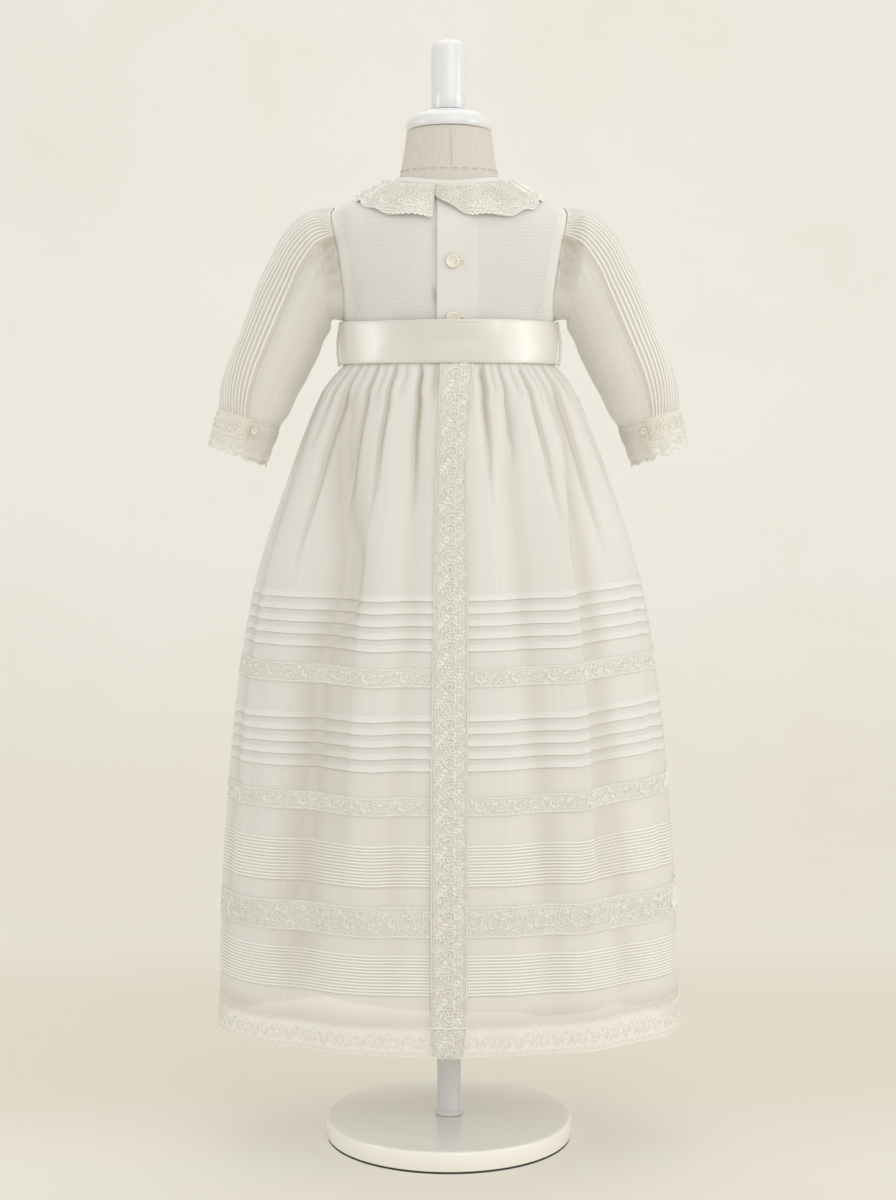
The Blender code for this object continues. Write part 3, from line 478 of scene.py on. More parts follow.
# how much higher each row of tucks and lace lies at the left and at the right side than at the back
sideLift = smoothTable(
    (0.0900, 0.0020, -0.0010), (0.1185, 0.0, 0.0030), (0.1762, 0.0, 0.0005), (0.2158, -0.0025, 0.0035),
    (0.2638, 0.0004, 0.0064), (0.3024, 0.0014, 0.0088), (0.3300, -0.0006, 0.0084), (0.3681, -0.0018, 0.0086),
    (0.4000, 0.0026, 0.0076), (0.4200, 0.0024, 0.0086), (0.4623, 0.0010, 0.0092), (0.5400, 0.0004, 0.0050),
    (0.6200, 0.0, 0.0), (0.6600, 0.0, 0.0))
# the big folds: degrees from the centre back, half width in degrees, height in mm
bigFolds = (
    (-64, 16, 2.5), (-39, 13, -7.0), (-21, 12, 3.5), (22, 10, -1.5), (37, 12, 5.0), (53, 13, -6.0), (72, 12, 2.0),
    (108, 16, 3.0), (130, 14, -6.0), (152, 15, 4.0), (176, 14, -4.0), (200, 15, 4.0), (226, 15, -6.5), (250, 14, 3.0))
# the creases between the gathers: degrees, depth in mm, the height they run down to
waistCreases = (
    (-174, 3.0, 0.530), (-167, 1.3, 0.612), (-158, 3.2, 0.470), (-150, 1.2, 0.618), (-141, 2.8, 0.520),
    (-133, 1.4, 0.610), (-126, 3.2, 0.480), (-116, 1.2, 0.620), (-108, 3.0, 0.500), (-100, 1.3, 0.612),
    (-93, 2.7, 0.530), (-84, 1.2, 0.618), (-76, 3.1, 0.490), (-69, 1.3, 0.610), (-63, 2.4, 0.560),
    (-52, 3.4, 0.455), (-45, 1.2, 0.615), (-37.5, 3.2, 0.500), (-31, 1.3, 0.610), (-25.7, 3.3, 0.490),
    (-19, 1.2, 0.620), (-12, 3.2, 0.510), (-5, 1.5, 0.605), (4, 1.2, 0.620), (14.5, 3.2, 0.520),
    (19, 1.2, 0.618), (23.5, 2.6, 0.550), (30, 1.2, 0.615), (36.5, 3.3, 0.490), (42, 1.3, 0.610),
    (47.5, 2.8, 0.530), (58, 3.3, 0.465), (66, 1.3, 0.612), (73, 2.9, 0.510), (81, 1.2, 0.618),
    (90, 3.1, 0.485), (98, 1.4, 0.610), (106, 2.7, 0.530), (116, 3.2, 0.475), (124, 1.2, 0.618),
    (133, 2.8, 0.515), (141, 1.3, 0.612), (150, 3.2, 0.480), (159, 1.2, 0.620), (167, 2.7, 0.530),
    (178, 1.4, 0.608))
creaseMarks = np.array(waistCreases, float)
creaseMarks = np.concatenate((creaseMarks[-2:-1] - (360, 0, 0), creaseMarks, creaseMarks[:1] + (360, 0, 0)))

# folds with one sharp side: degrees, height in mm, degrees up the sharp side (its sign says which), degrees down
# the other, the heights between which they run, and how far they lean over towards the waist
sharpFolds = (
    (-24.5, 2.8, 2.6, 12, 0.560, 0.200, -8), (36, 4.2, -3.2, 14, 0.640, 0.180, 11),
    (-64, 1.0, -3.4, 12, 0.520, 0.200, -6), (63, 1.2, -3.8, 12, 0.520, 0.180, 6),
    (-112, 3.2, -2.4, 14, 0.560, 0.180, -8), (118, 3.4, 2.4, 14, 0.600, 0.200, 8),
    (-150, 3.0, 2.4, 15, 0.520, 0.150, 5), (163, 3.2, -2.4, 14, 0.560, 0.180, -6))
# long soft valleys: their depth in mm, half width in degrees, the degrees they pass through and at which heights
valleyHeights = (0.10, 0.30, 0.45, 0.56, 0.64)
valleys = (
    (4.2, 7.0, (-42, -39.5, -38, -38.6, -35.5, -31.5, -32, -42, -52),
     (0.10, 0.29, 0.34, 0.39, 0.43, 0.455, 0.49, 0.555, 0.64)),
    (1.6, 3.4, (-14, -13, -11, -12, -14.4), valleyHeights), (1.8, 3.6, (27, 24, 21, 22, 25.4), valleyHeights),
    (2.4, 4.6, (50, 47, 46, 50, 56), valleyHeights), (2.2, 4.4, (-76, -74, -73, -76, -83), valleyHeights),
    (2.4, 4.6, (84, 82, 80, 83, 88), valleyHeights), (2.6, 4.8, (128, 130, 131, 128, 124), valleyHeights),
    (2.0, 4.4, (154, 156, 158, 160, 162), valleyHeights), (2.8, 4.8, (-133, -135, -137, -139, -138), valleyHeights),
    (2.0, 4.4, (-168, -165, -161, -158, -157), valleyHeights))


def gathers(angle, height):
    # rounded pleats with a narrow groove at every crease, and the painted shade in the grooves
    degrees = fromMark(angle, 0)
    phase, depth, foot = [np.interp(degrees, creaseMarks[:, 0], column)
                          for column in (np.arange(len(creaseMarks)), creaseMarks[:, 1], creaseMarks[:, 2])]
    rounded = np.abs(np.sin(math.pi * phase)) ** 0.8
    length = smoothStep(foot, 0.632, height) ** 0.8 * (0.55 + 0.45 * smoothStep(0.641, 0.630, height))
    return mm * depth * length * (1.9 * rounded - 2.1), length * depth / 1.4 * (1 - rounded) ** 2.1


def skirtFolds(angle, height):
    # how far the folds move the cloth out, and how much light they keep from it
    rise, hollow = gathers(angle, height)
    for middle, depth, steep, gentle, top, foot, lean in sharpFolds:
        away = fromMark(angle, middle + lean * smoothStep(0.48, 0.62, height))
        side, steep = np.where(steep > 0, away, -away), abs(steep)
        span = smoothStep(top, top - 0.07, height) * smoothStep(foot, foot + 0.10, height)
        climb = smoothStep(-steep, 0, side) * np.where(side > 0, np.maximum(0, 1 - side / gentle) ** 1.6, 1)
        rise = rise + depth * mm * climb * span
        hollow = hollow + 0.075 * depth * span * swell(side, -1.4 * steep, 1.3 * steep)
    span = smoothStep(0.636, 0.60, height) * smoothStep(0.10, 0.22, height)
    for depth, halfSpread, degrees, heights in valleys:
        near = depth * swell(fromMark(angle, np.interp(height, heights, degrees)), 0, halfSpread) * span
        rise = rise - mm * near
        hollow = hollow + 0.13 * near
    return rise, np.clip(hollow, 0, 1)


def skirtForm(angle, height):
    halfWidth, halfDepth, squareness, share = skirtTable(height)
    rise = np.zeros_like(halfWidth)
    for middle, halfSpread, depth in bigFolds:
        away = fromCentreBack(angle - math.radians(middle)) / math.radians(halfSpread)
        rise = rise + depth * mm * (0.5 + 0.5 * np.cos(math.pi * np.minimum(away, 1)))
    x, y = roundedOval(halfWidth, halfDepth, squareness, angle)
    outX, outY = x / halfWidth**2, y / halfDepth**2
    size = np.hypot(outX, outY)
    return np.stack((x + outX / size * rise * share, y + outY / size * rise * share, height), -1)


def skirtCloth(angle, height):
    # the form with its gathers and folds, and a slow sway lower down
    angle, height = np.broadcast_arrays(np.asarray(angle, float), np.asarray(height, float))
    points = skirtForm(angle, height)
    sway = 0.6 * mm * smoothStep(0.60, 0.50, height) * np.sin(19 * angle + 2.2 * np.sin(3 * angle) + 6 * height)
    rise = (skirtFolds(angle, height)[0] + sway) * smoothStep(0.6432, 0.6385, height)
    points[..., :2] += normalised(points[..., :2]) * rise[..., None]
    return points


def rowHeight(angle, level):
    # the height all round of a row that lies at that level at the centre back; it steps where it crosses a fold
    left, right = sideLift(level)
    wander = 0.35 * mm * np.sin(4 * angle + 40 * level) * np.sin(angle / 2) ** 2
    worn = smoothStep(0.10, 0.24, level) * smoothStep(0.50, 0.46, level)
    step = sum(rise * swell(fromMark(angle, 0), middle, spread)
               for rise, middle, spread in ((0.0011, 40, 5), (-0.0007, 33, 3), (0.0010, 66, 4), (-0.0010, -20, 5)))
    return level + np.where(np.sin(angle) > 0, right, left) * np.sin(angle) ** 2 + wander + step * worn


# ways of making cloth
def settle(piece, name, node, look, cut=None):
    # name it, give it its finish, and let it stand for its solid
    piece.name = piece.data.name = name
    piece.data.materials.clear()
    piece.data.materials.append(finishFor(look, cut))
    if node:
        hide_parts(node)
    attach(piece, "root")
    return piece


def weld():
    # joins the points that meet
    bpy.ops.object.mode_set(mode="EDIT")
    bpy.ops.mesh.select_all(action="SELECT")
    bpy.ops.mesh.remove_doubles(threshold=0.00002)
    bpy.ops.object.mode_set(mode="OBJECT")


def pointsOf(piece):
    flat = np.zeros(len(piece.data.vertices) * 3)
    piece.data.vertices.foreach_get("co", flat)
    return flat.reshape(-1, 3)


def clothGrid(columns, rows, shape, closed=False, spacing=None, wall=None):
    # a grid whose columns run round and rows run down, laid onto a shape of column and row
    bpy.ops.object.select_all(action="DESELECT")
    bpy.ops.mesh.primitive_grid_add(x_subdivisions=columns, y_subdivisions=rows, size=1)
    piece = bpy.context.object
    if spacing is not None:       # the map's rows as far apart as they are along the cloth
        places = piece.data.uv_layers.active.data
        spread = np.zeros(len(places) * 2)
        places.foreach_get("uv", spread)
        spread[1::2] = 1 - spacing[np.rint((1 - spread[1::2]) * rows).astype(int)]
        places.foreach_set("uv", spread)
    flat = pointsOf(piece)
    column = np.rint((flat[:, 0] + 0.5) * columns).astype(int)
    row = np.rint((0.5 - flat[:, 1]) * rows).astype(int)
    piece.data.vertices.foreach_set("co", shape(column, row).ravel())
    if closed:
        weld()
    bpy.ops.object.shade_smooth()
    piece.data.update()
    if wall:                      # its thickness, inward
        layer = piece.modifiers.new("wall", "SOLIDIFY")
        layer.thickness = wall
        layer.offset = -1
        bpy.ops.object.modifier_apply(modifier="wall")
    return piece


def mark(piece, name, shares):
    # a value for every point, for the finish to read
    layer = piece.data.attributes.new(name, "FLOAT", "POINT")
    layer.data.foreach_set("value", shares.astype(np.float32))


def tube(line, radius, sides=6, closed=False):
    # a thread or cord along a line of points
    line = np.asarray(line, float)
    bpy.ops.object.select_all(action="DESELECT")
    bpy.ops.curve.primitive_nurbs_path_add()
    piece = bpy.context.object
    curve = piece.data
    curve.splines.clear()
    spline = curve.splines.new("POLY")
    spline.points.add(len(line) - 1)
    spline.points.foreach_set("co", np.c_[line, np.ones(len(line))].ravel())
    spline.use_cyclic_u = closed
    curve.bevel_depth = radius
    curve.bevel_resolution = max(0, sides // 2 - 2)
    curve.use_fill_caps = not closed
    bpy.ops.object.convert(target="MESH")
    bpy.ops.object.shade_smooth()
    return piece


def joined(pieces):
    bpy.ops.object.select_all(action="DESELECT")
    for piece in pieces:
        piece.select_set(True)
    bpy.context.view_layer.objects.active = pieces[0]
    bpy.ops.object.join()
    bpy.ops.object.transform_apply(location=True, rotation=True, scale=True)
    return bpy.context.object


def laidOn(piece, lay):
    # a flat piece, in metres along, across and up, laid onto a surface
    piece.data.vertices.foreach_set("co", lay(*pointsOf(piece).T).ravel())
    piece.data.update()
    return piece


def stitched(points, count, share, radius):
    # a row of separate stitches along a line of points
    along = measured(points)
    made = []
    for number in range(count):
        places = (number + np.linspace(0, share, 3)) / count * along[-1]
        made.append(tube(np.stack([np.interp(places, along, column) for column in points.T], -1), radius, 4))
    return made


# stand
def lathe(name, node, outline, columns, look, lift=0.0, tilt=0.0):
    # a turned piece; its outline runs from the top of the axis down the outside and back to the axis
    radii, heights = np.array(outline, float).T

    def shape(column, row):
        radius, height = radii[row], heights[row]
        x = radius * np.sin(column * turn / columns)
        y = -radius * np.cos(column * turn / columns)
        return np.stack((x, y * math.cos(tilt) + height * math.sin(tilt),
                         lift + height * math.cos(tilt) - y * math.sin(tilt)), -1)
    piece = clothGrid(columns, len(outline) - 1, shape, closed=True)
    bpy.ops.object.shade_smooth_by_angle(angle=math.radians(35))
    return settle(piece, name, node, look)


def roundedEdge(radius, height, corner, steps=6):
    turns = np.linspace(math.pi / 2, 0, steps + 1)
    return [(radius - corner + corner * math.cos(a), height - corner + corner * math.sin(a)) for a in turns]


stand = {"baseRadius": 0.1025, "baseTop": 0.018, "edge": 0.0030, "padRadius": 0.1015, "padTop": 0.0015,
         "poleRadius": 0.010, "poleTop": 0.5297, "postRadius": 0.0146, "postFoot": 0.0175, "postLength": 0.056,
         "neckTop": 0.83, "capLift": 0.0005, "tilt": math.radians(5)}
lathe("standPad", "base_pad",
      [(0, stand["padTop"]), (stand["padRadius"], stand["padTop"]), (stand["padRadius"], 0), (0, 0)],
      128, "rubberPad")
lathe("standBase", "stand_base",
      [(0, stand["baseTop"]), (0.02, stand["baseTop"]), (0.06, stand["baseTop"] - 0.0002)]
      + roundedEdge(stand["baseRadius"], stand["baseTop"], stand["edge"])
      + [(stand["baseRadius"], 0.0030), (stand["baseRadius"] - 0.0008, 0.0018), (0, 0.0018)],
      160, "baseEnamel")
lathe("standPole", "stand_pole",
      [(0, stand["poleTop"]), (stand["poleRadius"], stand["poleTop"]), (stand["poleRadius"], 0.0225),
       (stand["poleRadius"] + 0.0012, 0.0213), (stand["poleRadius"] + 0.0016, 0.0185), (0, 0.0183)],
      64, "enamel")
dome = [(0, 0.0172), (0.0146, 0.0170)]
dome += [(0.0352 * math.sin(a) ** 0.9, 0.0040 + 0.0132 * math.cos(a) ** 0.8) for a in np.linspace(0.50, 1.45, 12)]
dome += [(0.0354, 0.0040), (0.0353, 0.0024), (0.0348, 0.0010), (0.0338, 0.0), (0, 0)]
postFoot, postTop = stand["postFoot"], stand["postFoot"] + stand["postLength"]
post = [(0, postTop)] + roundedEdge(stand["postRadius"], postTop, 0.0075, 10)
post += [(0.0147, 0.0500), (0.0144, 0.0300), (0.0147, postFoot + 0.0012), (0.0140, postFoot), (0, postFoot)]
for name, node, outline, columns in (("neckCap", "neck_cap", dome, 96), ("topPost", "top_post", post, 72)):
    lathe(name, node, outline, columns, "enamel", stand["neckTop"] + stand["capLift"], stand["tilt"])
print("stand ready")

# dress form
bodyForm = {"foot": 0.53, "slack": 0.0009, "neckSeam": 0.7972, "seamDepth": 0.0005, "columns": 144,
            "stitches": 28, "stitchLift": 0.0002, "firstStitch": 0.8020, "stitchPitch": 0.0040}
formLevels = np.concatenate((np.linspace(bodyForm["foot"], 0.78, 90), np.linspace(0.782, 0.83, 36)))[::-1]


def formShape(column, row):
    # closed at both ends, drawn in a little under the bodice, with seams down the neck and round it
    level = formLevels[np.clip(row - 1, 0, len(formLevels) - 1)]
    under = smoothStep(0.656, 0.6606, level) * smoothStep(0.7815, 0.7770, level)
    points = standOff(torso, column * turn / bodyForm["columns"], level, -bodyForm["slack"] * under)
    seam = swell(points[..., 0], 0, 0.0006) * (points[..., 1] < 0)
    across = swell(level, bodyForm["neckSeam"], 0.0007)
    points[..., 1] += bodyForm["seamDepth"] * (seam + across * (1 - seam)) * -np.sign(points[..., 1])
    points[..., 2] -= points[..., 1] * math.tan(stand["tilt"]) * smoothStep(0.80, 0.83, level)
    points[(row == 0) | (row == len(formLevels) + 1), 0:2] = 0
    return points


settle(clothGrid(bodyForm["columns"], len(formLevels) + 1, formShape, closed=True), "dressForm", "form_body",
       "linenCover")
dashes = []
for number in range(bodyForm["stitches"]):
    angles = turn * (number + 0.5) / bodyForm["stitches"] + np.linspace(-0.062, 0.062, 4)
    dashes.append(tube(standOff(torso, angles, bodyForm["neckSeam"] + 0.0016, bodyForm["stitchLift"]), 0.00028))
for number in range(6):
    level = bodyForm["firstStitch"] + np.linspace(0, 0.0030, 4) + number * bodyForm["stitchPitch"]
    dashes.append(tube(standOff(torso, 0.052, level, bodyForm["stitchLift"]), 0.00025))
settle(joined(dashes), "neckStitches", None, "seamThread")
print("dress form ready")

# bodice
stack = {"seamGap": 0.0003, "organza": 0.0012, "ease": 0.0009}
bodiceFace = stack["ease"] + stack["organza"]
placketFace = bodiceFace + stack["seamGap"] + stack["organza"]
neckTable = {"back": 0.7835, "side": 0.7880, "front": 0.7780}
armhole = {"middle": 0.7232, "half": 0.0433, "reach": math.radians(17), "crest": 0.0010}
bodice = {"top": 0.7765, "foot": 0.6606, "rows": 72, "columns": 40, "neckShare": 0.04}


def neckline(angle):
    back = (1 + np.cos(angle)) / 2
    level = neckTable["back"] * back + neckTable["front"] * (1 - back)
    return level + np.sin(angle) ** 2 * (neckTable["side"] - (neckTable["back"] + neckTable["front"]) / 2)


def armholeInset(height):
    rise = (height - armhole["middle"]) / armhole["half"]
    return armhole["reach"] * np.sqrt(np.maximum(0, 1 - rise * rise))


def bodiceCrease(angle, height):
    # soft pulls across the cloth, from the armpits and from the waist up
    away = fromCentreBack(angle)
    side = np.sign(np.sin(angle))
    pull = np.sin(away * 9 + (height - 0.66) * 95 + side * 0.7) * smoothStep(0.66, 0.69, height)
    waist = np.cos(angle * 31 + 1.3 * np.sin(angle * 3)) * smoothStep(0.700, 0.672, height)
    return 0.00025 * pull * smoothStep(0.35, 0.9, away) + 0.0003 * waist * smoothStep(0.35, 0.6, away)


def bodicePanel(name, node, first, last):
    # a panel from one quarter of the way round to another, lighter along its armhole seam
    columns = bodice["columns"] * (last - first)

    def shape(column, row):
        share, neck = row / bodice["rows"], bodice["neckShare"]
        body = bodice["top"] - (bodice["top"] - bodice["foot"]) * (share - neck) / (1 - neck)
        level = np.where(share < neck, bodice["top"], body)
        inset = np.where(share < neck, 0, armholeInset(level))
        start = first * math.pi / 2 + (inset if first % 2 else 0)
        end = last * math.pi / 2 - (inset if last % 2 else 0)
        angle = start + (end - start) * column / columns
        level = np.where(share < neck, level + (neckline(angle) - level) * (1 - share / neck), level)
        return standOff(torso, angle, level, bodiceFace + bodiceCrease(angle, level))
    piece = settle(clothGrid(columns, bodice["rows"], shape, wall=stack["organza"]), name, node,
                   "bodiceCloth")
    x, y, z = pointsOf(piece).T
    inset = torso(math.pi / 2 - armholeInset(z), z)[:, 0] - np.abs(x)
    allowance = smoothStep(0.0075, 0.0055, inset) * (0.28 + 0.42 * smoothStep(0.0034, 0.0008, inset))
    mark(piece, "double", allowance * smoothStep(0.772, 0.764, z))
    return piece


bodiceFront = bodicePanel("bodiceFront", "bodice_front", 1, 3)
bodiceLeft = bodicePanel("bodiceBackLeft", "bodice_back_left", 3, 4)
bodiceRight = bodicePanel("bodiceBackRight", "bodice_back_right", 0, 1)
print("bodice ready")

# skirt
skirtPlan = {
    "waist": 0.6597, "hemSeam": 0.1185, "hemFoot": 0.0958, "gap": 0.0003, "allowance": 0.02,
    "wideTops": (0.4623, 0.3681), "wideDepth": 0.0054, "widePitch": 0.00982, "wideLip": 0.0009, "wideCount": 5,
    "pinTops": (0.2638, 0.1762), "pinPitch": 0.00258, "pinRidge": 0.0005, "pinCount": 13,
    "laceBands": ((0.4037, 0.3895), (0.3024, 0.2882), (0.2158, 0.1913)),
    "columns": (420, 330, 330, 330),
}


# rows of a tier: height, how far out, share of folded layers, and painted shade
def plainRows(high, low, count):
    return [(level, 0.0, 0.0, 0.0) for level in np.linspace(high, low, count)]


def wideTuckRows(top):
    # each tuck: down its outer layer to the fold, back up underneath, and down the cloth behind it
    rows = []
    for number in range(skirtPlan["wideCount"]):
        stitch = top - number * skirtPlan["widePitch"]
        foot = stitch - skirtPlan["wideDepth"]
        half = stitch - skirtPlan["wideDepth"] / 2
        rows += [(stitch + 0.0006, 0, 0, 0), (stitch, 0.00012, 0.3, 0), (stitch - 0.0005, 0.0004, 0.60, 0),
                 (half, 0.00065, 0.60, 0), (foot + 0.0005, 0.00085, 0.64, 0), (foot, skirtPlan["wideLip"], 0.72, 0),
                 (foot - 0.0001, 0.00065, 0.60, 0.15), (foot + 0.0003, 0.0005, 0.5, 0), (half, 0.0004, 0.5, 0),
                 (stitch - 0.0006, 0.00025, 0.5, 0), (stitch - 0.0009, 0, 0, 0), (foot, 0, 0, 0.22),
                 (foot - 0.0012, 0, 0, 0.05)]
    return rows


def pintuckRows(top):
    rows = []
    for number in range(skirtPlan["pinCount"]):
        level = top - number * skirtPlan["pinPitch"]
        rows += [(level + 0.0009, 0, 0, 0.22), (level + 0.0006, 0.0002, 0.86, 0), (level + 0.0002, 0.0004, 0.82, 0),
                 (level - 0.0004, skirtPlan["pinRidge"], 0.84, 0), (level - 0.0006, 0.0002, 0.8, 0),
                 (level - 0.0007, 0, 0, 0.24)]
    return rows


def skirtTier(number, columns, rows):
    rows = np.array(rows)
    levels, outs = rows.T[:2]
    along = measured(rows[:, :2])
    even, width = evenAngles(skirtForm, levels[-1])

    def shape(column, row):
        angle = even(column / columns)
        return standOff(skirtCloth, angle, rowHeight(angle, levels[row]), outs[row])
    piece = clothGrid(columns, len(rows) - 1, shape, spacing=along / along[-1])
    order, column = np.divmod(np.arange(len(piece.data.vertices)), columns + 1)
    level, out, folded, shade = rows[len(rows) - 1 - order].T
    mark(piece, "folded", folded)
    # painted shade: in the folds, under the tucks, between the pintucks, and more on the sheer cloth below the lining's
    # hem
    shade = shade + 0.55 * smoothStep(0.138, 0.122, level)
    mark(piece, "hollow", np.clip(skirtFolds(even(column / columns), level)[1] + shade, 0, 1))
    weld()
    settle(piece, "skirtTier%d" % number, "skirt_tier_%d" % number, "organza", (width, along[-1]))
    return piece, width + skirtPlan["allowance"], along[-1]


heads = [foot - skirtPlan["gap"] for top, foot in skirtPlan["laceBands"]]
feet = [top + skirtPlan["gap"] for top, foot in skirtPlan["laceBands"]] + [skirtPlan["hemSeam"] + skirtPlan["gap"]]
tierRows = [
    plainRows(skirtPlan["waist"], 0.6432, 4) + plainRows(0.6424, 0.5850, 26) + plainRows(0.5820, 0.4660, 30)
    + wideTuckRows(skirtPlan["wideTops"][0]) + plainRows(0.4150, feet[0], 3),
    plainRows(heads[0], 0.3700, 4) + wideTuckRows(skirtPlan["wideTops"][1]) + plainRows(0.3190, feet[1], 4),
    plainRows(heads[1], 0.2660, 5) + pintuckRows(skirtPlan["pinTops"][0]) + plainRows(0.2300, feet[2], 4),
    plainRows(heads[2], 0.1785, 4) + pintuckRows(skirtPlan["pinTops"][1]) + plainRows(0.1425, feet[3], 7),
]
for number, (columns, rows) in enumerate(zip(skirtPlan["columns"], tierRows), 1):
    piece, width, length = skirtTier(number, columns, rows)
print("skirt tiers ready")

# degrees and heights along the lining's lower edge
liningEdge = smoothTable(
    (-180, 0.1310), (-150, 0.1285), (-120, 0.1335), (-98, 0.1275), (-78, 0.1258), (-62, 0.1250), (-52, 0.1320),
    (-42, 0.1368), (-34, 0.1412), (-22, 0.1362), (0, 0.1312), (15, 0.1306), (23, 0.1256), (32, 0.1264), (50, 0.1316),
    (72, 0.1285), (100, 0.1260), (126, 0.1330), (152, 0.1280), (180, 0.1310))
lining = {"columns": 240, "rows": 96, "inward": 0.0017, "length": 0.53, "cut": 0.54}


def liningShape(column, row):
    angle = liningEven(column / lining["columns"])
    high, low = skirtPlan["waist"], liningEdge(fromMark(angle, 0))[0]
    return standOff(skirtCloth, angle, high + (low - high) * (row / lining["rows"]), -lining["inward"])


liningEven, liningWidth = evenAngles(skirtForm, 0.13)
liningPiece = settle(clothGrid(lining["columns"], lining["rows"], liningShape, closed=True), "skirtLining",
                     "skirt_lining", "liningCloth", (liningWidth, lining["cut"]))
x, y, z = pointsOf(liningPiece).T
# painted shade in the lining's folds, as on the skirt
mark(liningPiece, "hollow", 0.7 * skirtFolds(np.arctan2(x, -y), z)[1])
liningWidth += skirtPlan["allowance"]
print("lining ready")


# lace, modelled flat and laid on the cloth
def inRow(piece, count, pitch):
    row = piece.modifiers.new("row", "ARRAY")
    row.use_relative_offset = False
    row.use_constant_offset = True
    row.constant_offset_displace = (pitch, 0, 0)
    row.count = count
    bpy.ops.object.select_all(action="DESELECT")
    piece.select_set(True)
    bpy.context.view_layer.objects.active = piece
    bpy.ops.object.modifier_apply(modifier="row")
    return piece


def motifsOf(name, unit, count, length, height, lay, look="softThread", more=()):
    # a unit of worked lace, repeated along the length and laid on its net
    motifs = laidOn(inRow(joined(unit(length / count, height)), count, length / count), lay)
    if more:
        motifs = joined([motifs, *more])
    return settle(motifs, name, None, look)


def cord(x, y, lift, thread, closed=False):
    return tube(np.stack(np.broadcast_arrays(x, y, lift), -1), thread, 4, closed)


def hoop(x, y, reach, points, lift, thread):
    # a closed cord round a middle, its reach even or changing with the turn
    around = np.linspace(0, turn, points, endpoint=False)
    reach = reach(around) if callable(reach) else reach
    return cord(x + reach * np.cos(around), y + reach * np.sin(around), lift, thread, True)


def ring(x, y, radius, thread=0.00022, points=9):
    return hoop(x, y, radius, points, 0.00025, thread * 1.3)


def loopedRings(x, y, size, *rings):
    # closed cords that run in small loops round a middle: radius, swing and number of loops
    return [hoop(x, y, lambda around: size * (radius + swing * np.sin(loops * around)), 6 * loops, 0.0002, 0.00024)
            for radius, swing, loops in rings]


def meanders(pitch, height, *routes):
    # cords that swing across the lace and loop back on themselves, the same at both ends of the repeat: middle
    # and swing as shares of the height, number of swings, of loops, where they start, thickness and points
    pieces = []
    for middle, swing, turns, loops, start, thread, samples in routes:
        s = np.linspace(0, 1, samples)
        looped = turn * loops * s + start
        x = pitch * (s + 0.55 / loops * (np.sin(looped) - math.sin(start)))
        y = height * (middle + swing * (np.sin(turn * turns * s + start) + 0.30 * np.cos(looped)))
        pieces.append(cord(x, y, 0.0002, thread))
    return pieces


def edging(length, level, scallops, height, thread=0.00024):
    # a straight edge thread with a run of small loops along it
    share = np.linspace(0, 1, 6 * scallops + 1)
    loops = height * np.abs(np.sin(math.pi * scallops * share)) ** 0.7
    return [cord(np.linspace(0, length, 13), level, 0.0002, thread * 1.2),
            cord(share * length, level + loops, 0.00015, thread * 0.8)]


def edgings(length, height, inset, scallops, swing, thread=0.00024):
    return (edging(length, inset, scallops, -swing, thread)
            + edging(length, height - inset, scallops, swing, thread))


band = {"columns": 300, "rowHeight": 0.003, "lap": 0.0006, "netOut": 0.0003, "motifsOut": 0.0004,
        "pitches": (0.030, 0.030, 0.036), "hemPitch": 0.032, "wideFrom": 0.02}


def laceBand(label, node, top, foot, unit, pitch, look, motifLook):
    # the net and its worked motifs; the net stands for the solid and the motifs go with it
    even, width = evenAngles(skirtCloth, (top + foot) / 2)
    height = top - foot
    rows = max(4, int(height / band["rowHeight"]))
    high, low = top + band["lap"], foot - band["lap"]         # the net's edges lie over the cloth's

    def netShape(column, row):
        angle = even(column / band["columns"])
        return standOff(skirtCloth, angle, rowHeight(angle, high + (low - high) * row / rows), band["netOut"])

    def laid(x, y, z):
        angle = even(x / width)
        return standOff(skirtCloth, angle, rowHeight(angle, foot + y), band["motifsOut"] + z)
    net = clothGrid(band["columns"], rows, netShape, closed=True)
    settle(net, label, node, look, (width, height))
    motifs = motifsOf(label + "Motifs", unit, round(width / pitch), width, height, laid, motifLook)


def bandUnit(pitch, height):
    # one repeat of a lace insertion: wandering cords, ringed rosettes and looped edges
    wide = height > band["wideFrom"]
    pieces = meanders(pitch, height, (0.5, 0.30, 2, 9, 0.4, 0.00034, 110), (0.5, 0.24, 3, 11, 2.1, 0.00028, 110))
    if wide:
        pieces += meanders(pitch, height, (0.26, 0.11, 4, 12, 0.2, 0.00024, 140),
                           (0.74, 0.11, 4, 12, 2.2, 0.00024, 140))
    pieces += [ring(pitch * x, height * y, height * size * grown, 0.0002, 14)
               for x, y, size in ((0.24, 0.52, 0.13), (0.74, 0.46, 0.10)) for grown in (1.0, 1.7)]
    if wide:
        pieces += [ring(pitch * x, height * y, height * 0.07, 0.0002, 10)
                   for x in (0.06, 0.50, 0.94) for y in (0.22, 0.78)]
    return pieces + edgings(pitch, height, 0.0007, 12, 0.0010, 0.00028)


def hemUnit(pitch, height):
    # the hem lace: faint wandering cords and small rings over a small-scalloped edge
    pieces = meanders(pitch, height, (0.50, 0.22, 2, 9, 0.9, 0.00022, 110), (0.46, 0.16, 3, 11, 2.4, 0.0002, 110))
    pieces += [ring(pitch * x, height * y, 0.0013, 0.00018, 10)
               for x, y in ((0.12, 0.40), (0.30, 0.62), (0.52, 0.36), (0.70, 0.60), (0.88, 0.44))]
    share = np.linspace(0, 1, 49)
    pieces += [cord(share * pitch, lift + 0.0014 * (1 - np.abs(np.sin(6 * math.pi * share))), 0.0002, 0.00022)
               for lift in (0.0008, 0.0022)]
    return pieces + edging(pitch, height - 0.0009, 10, 0.0006)


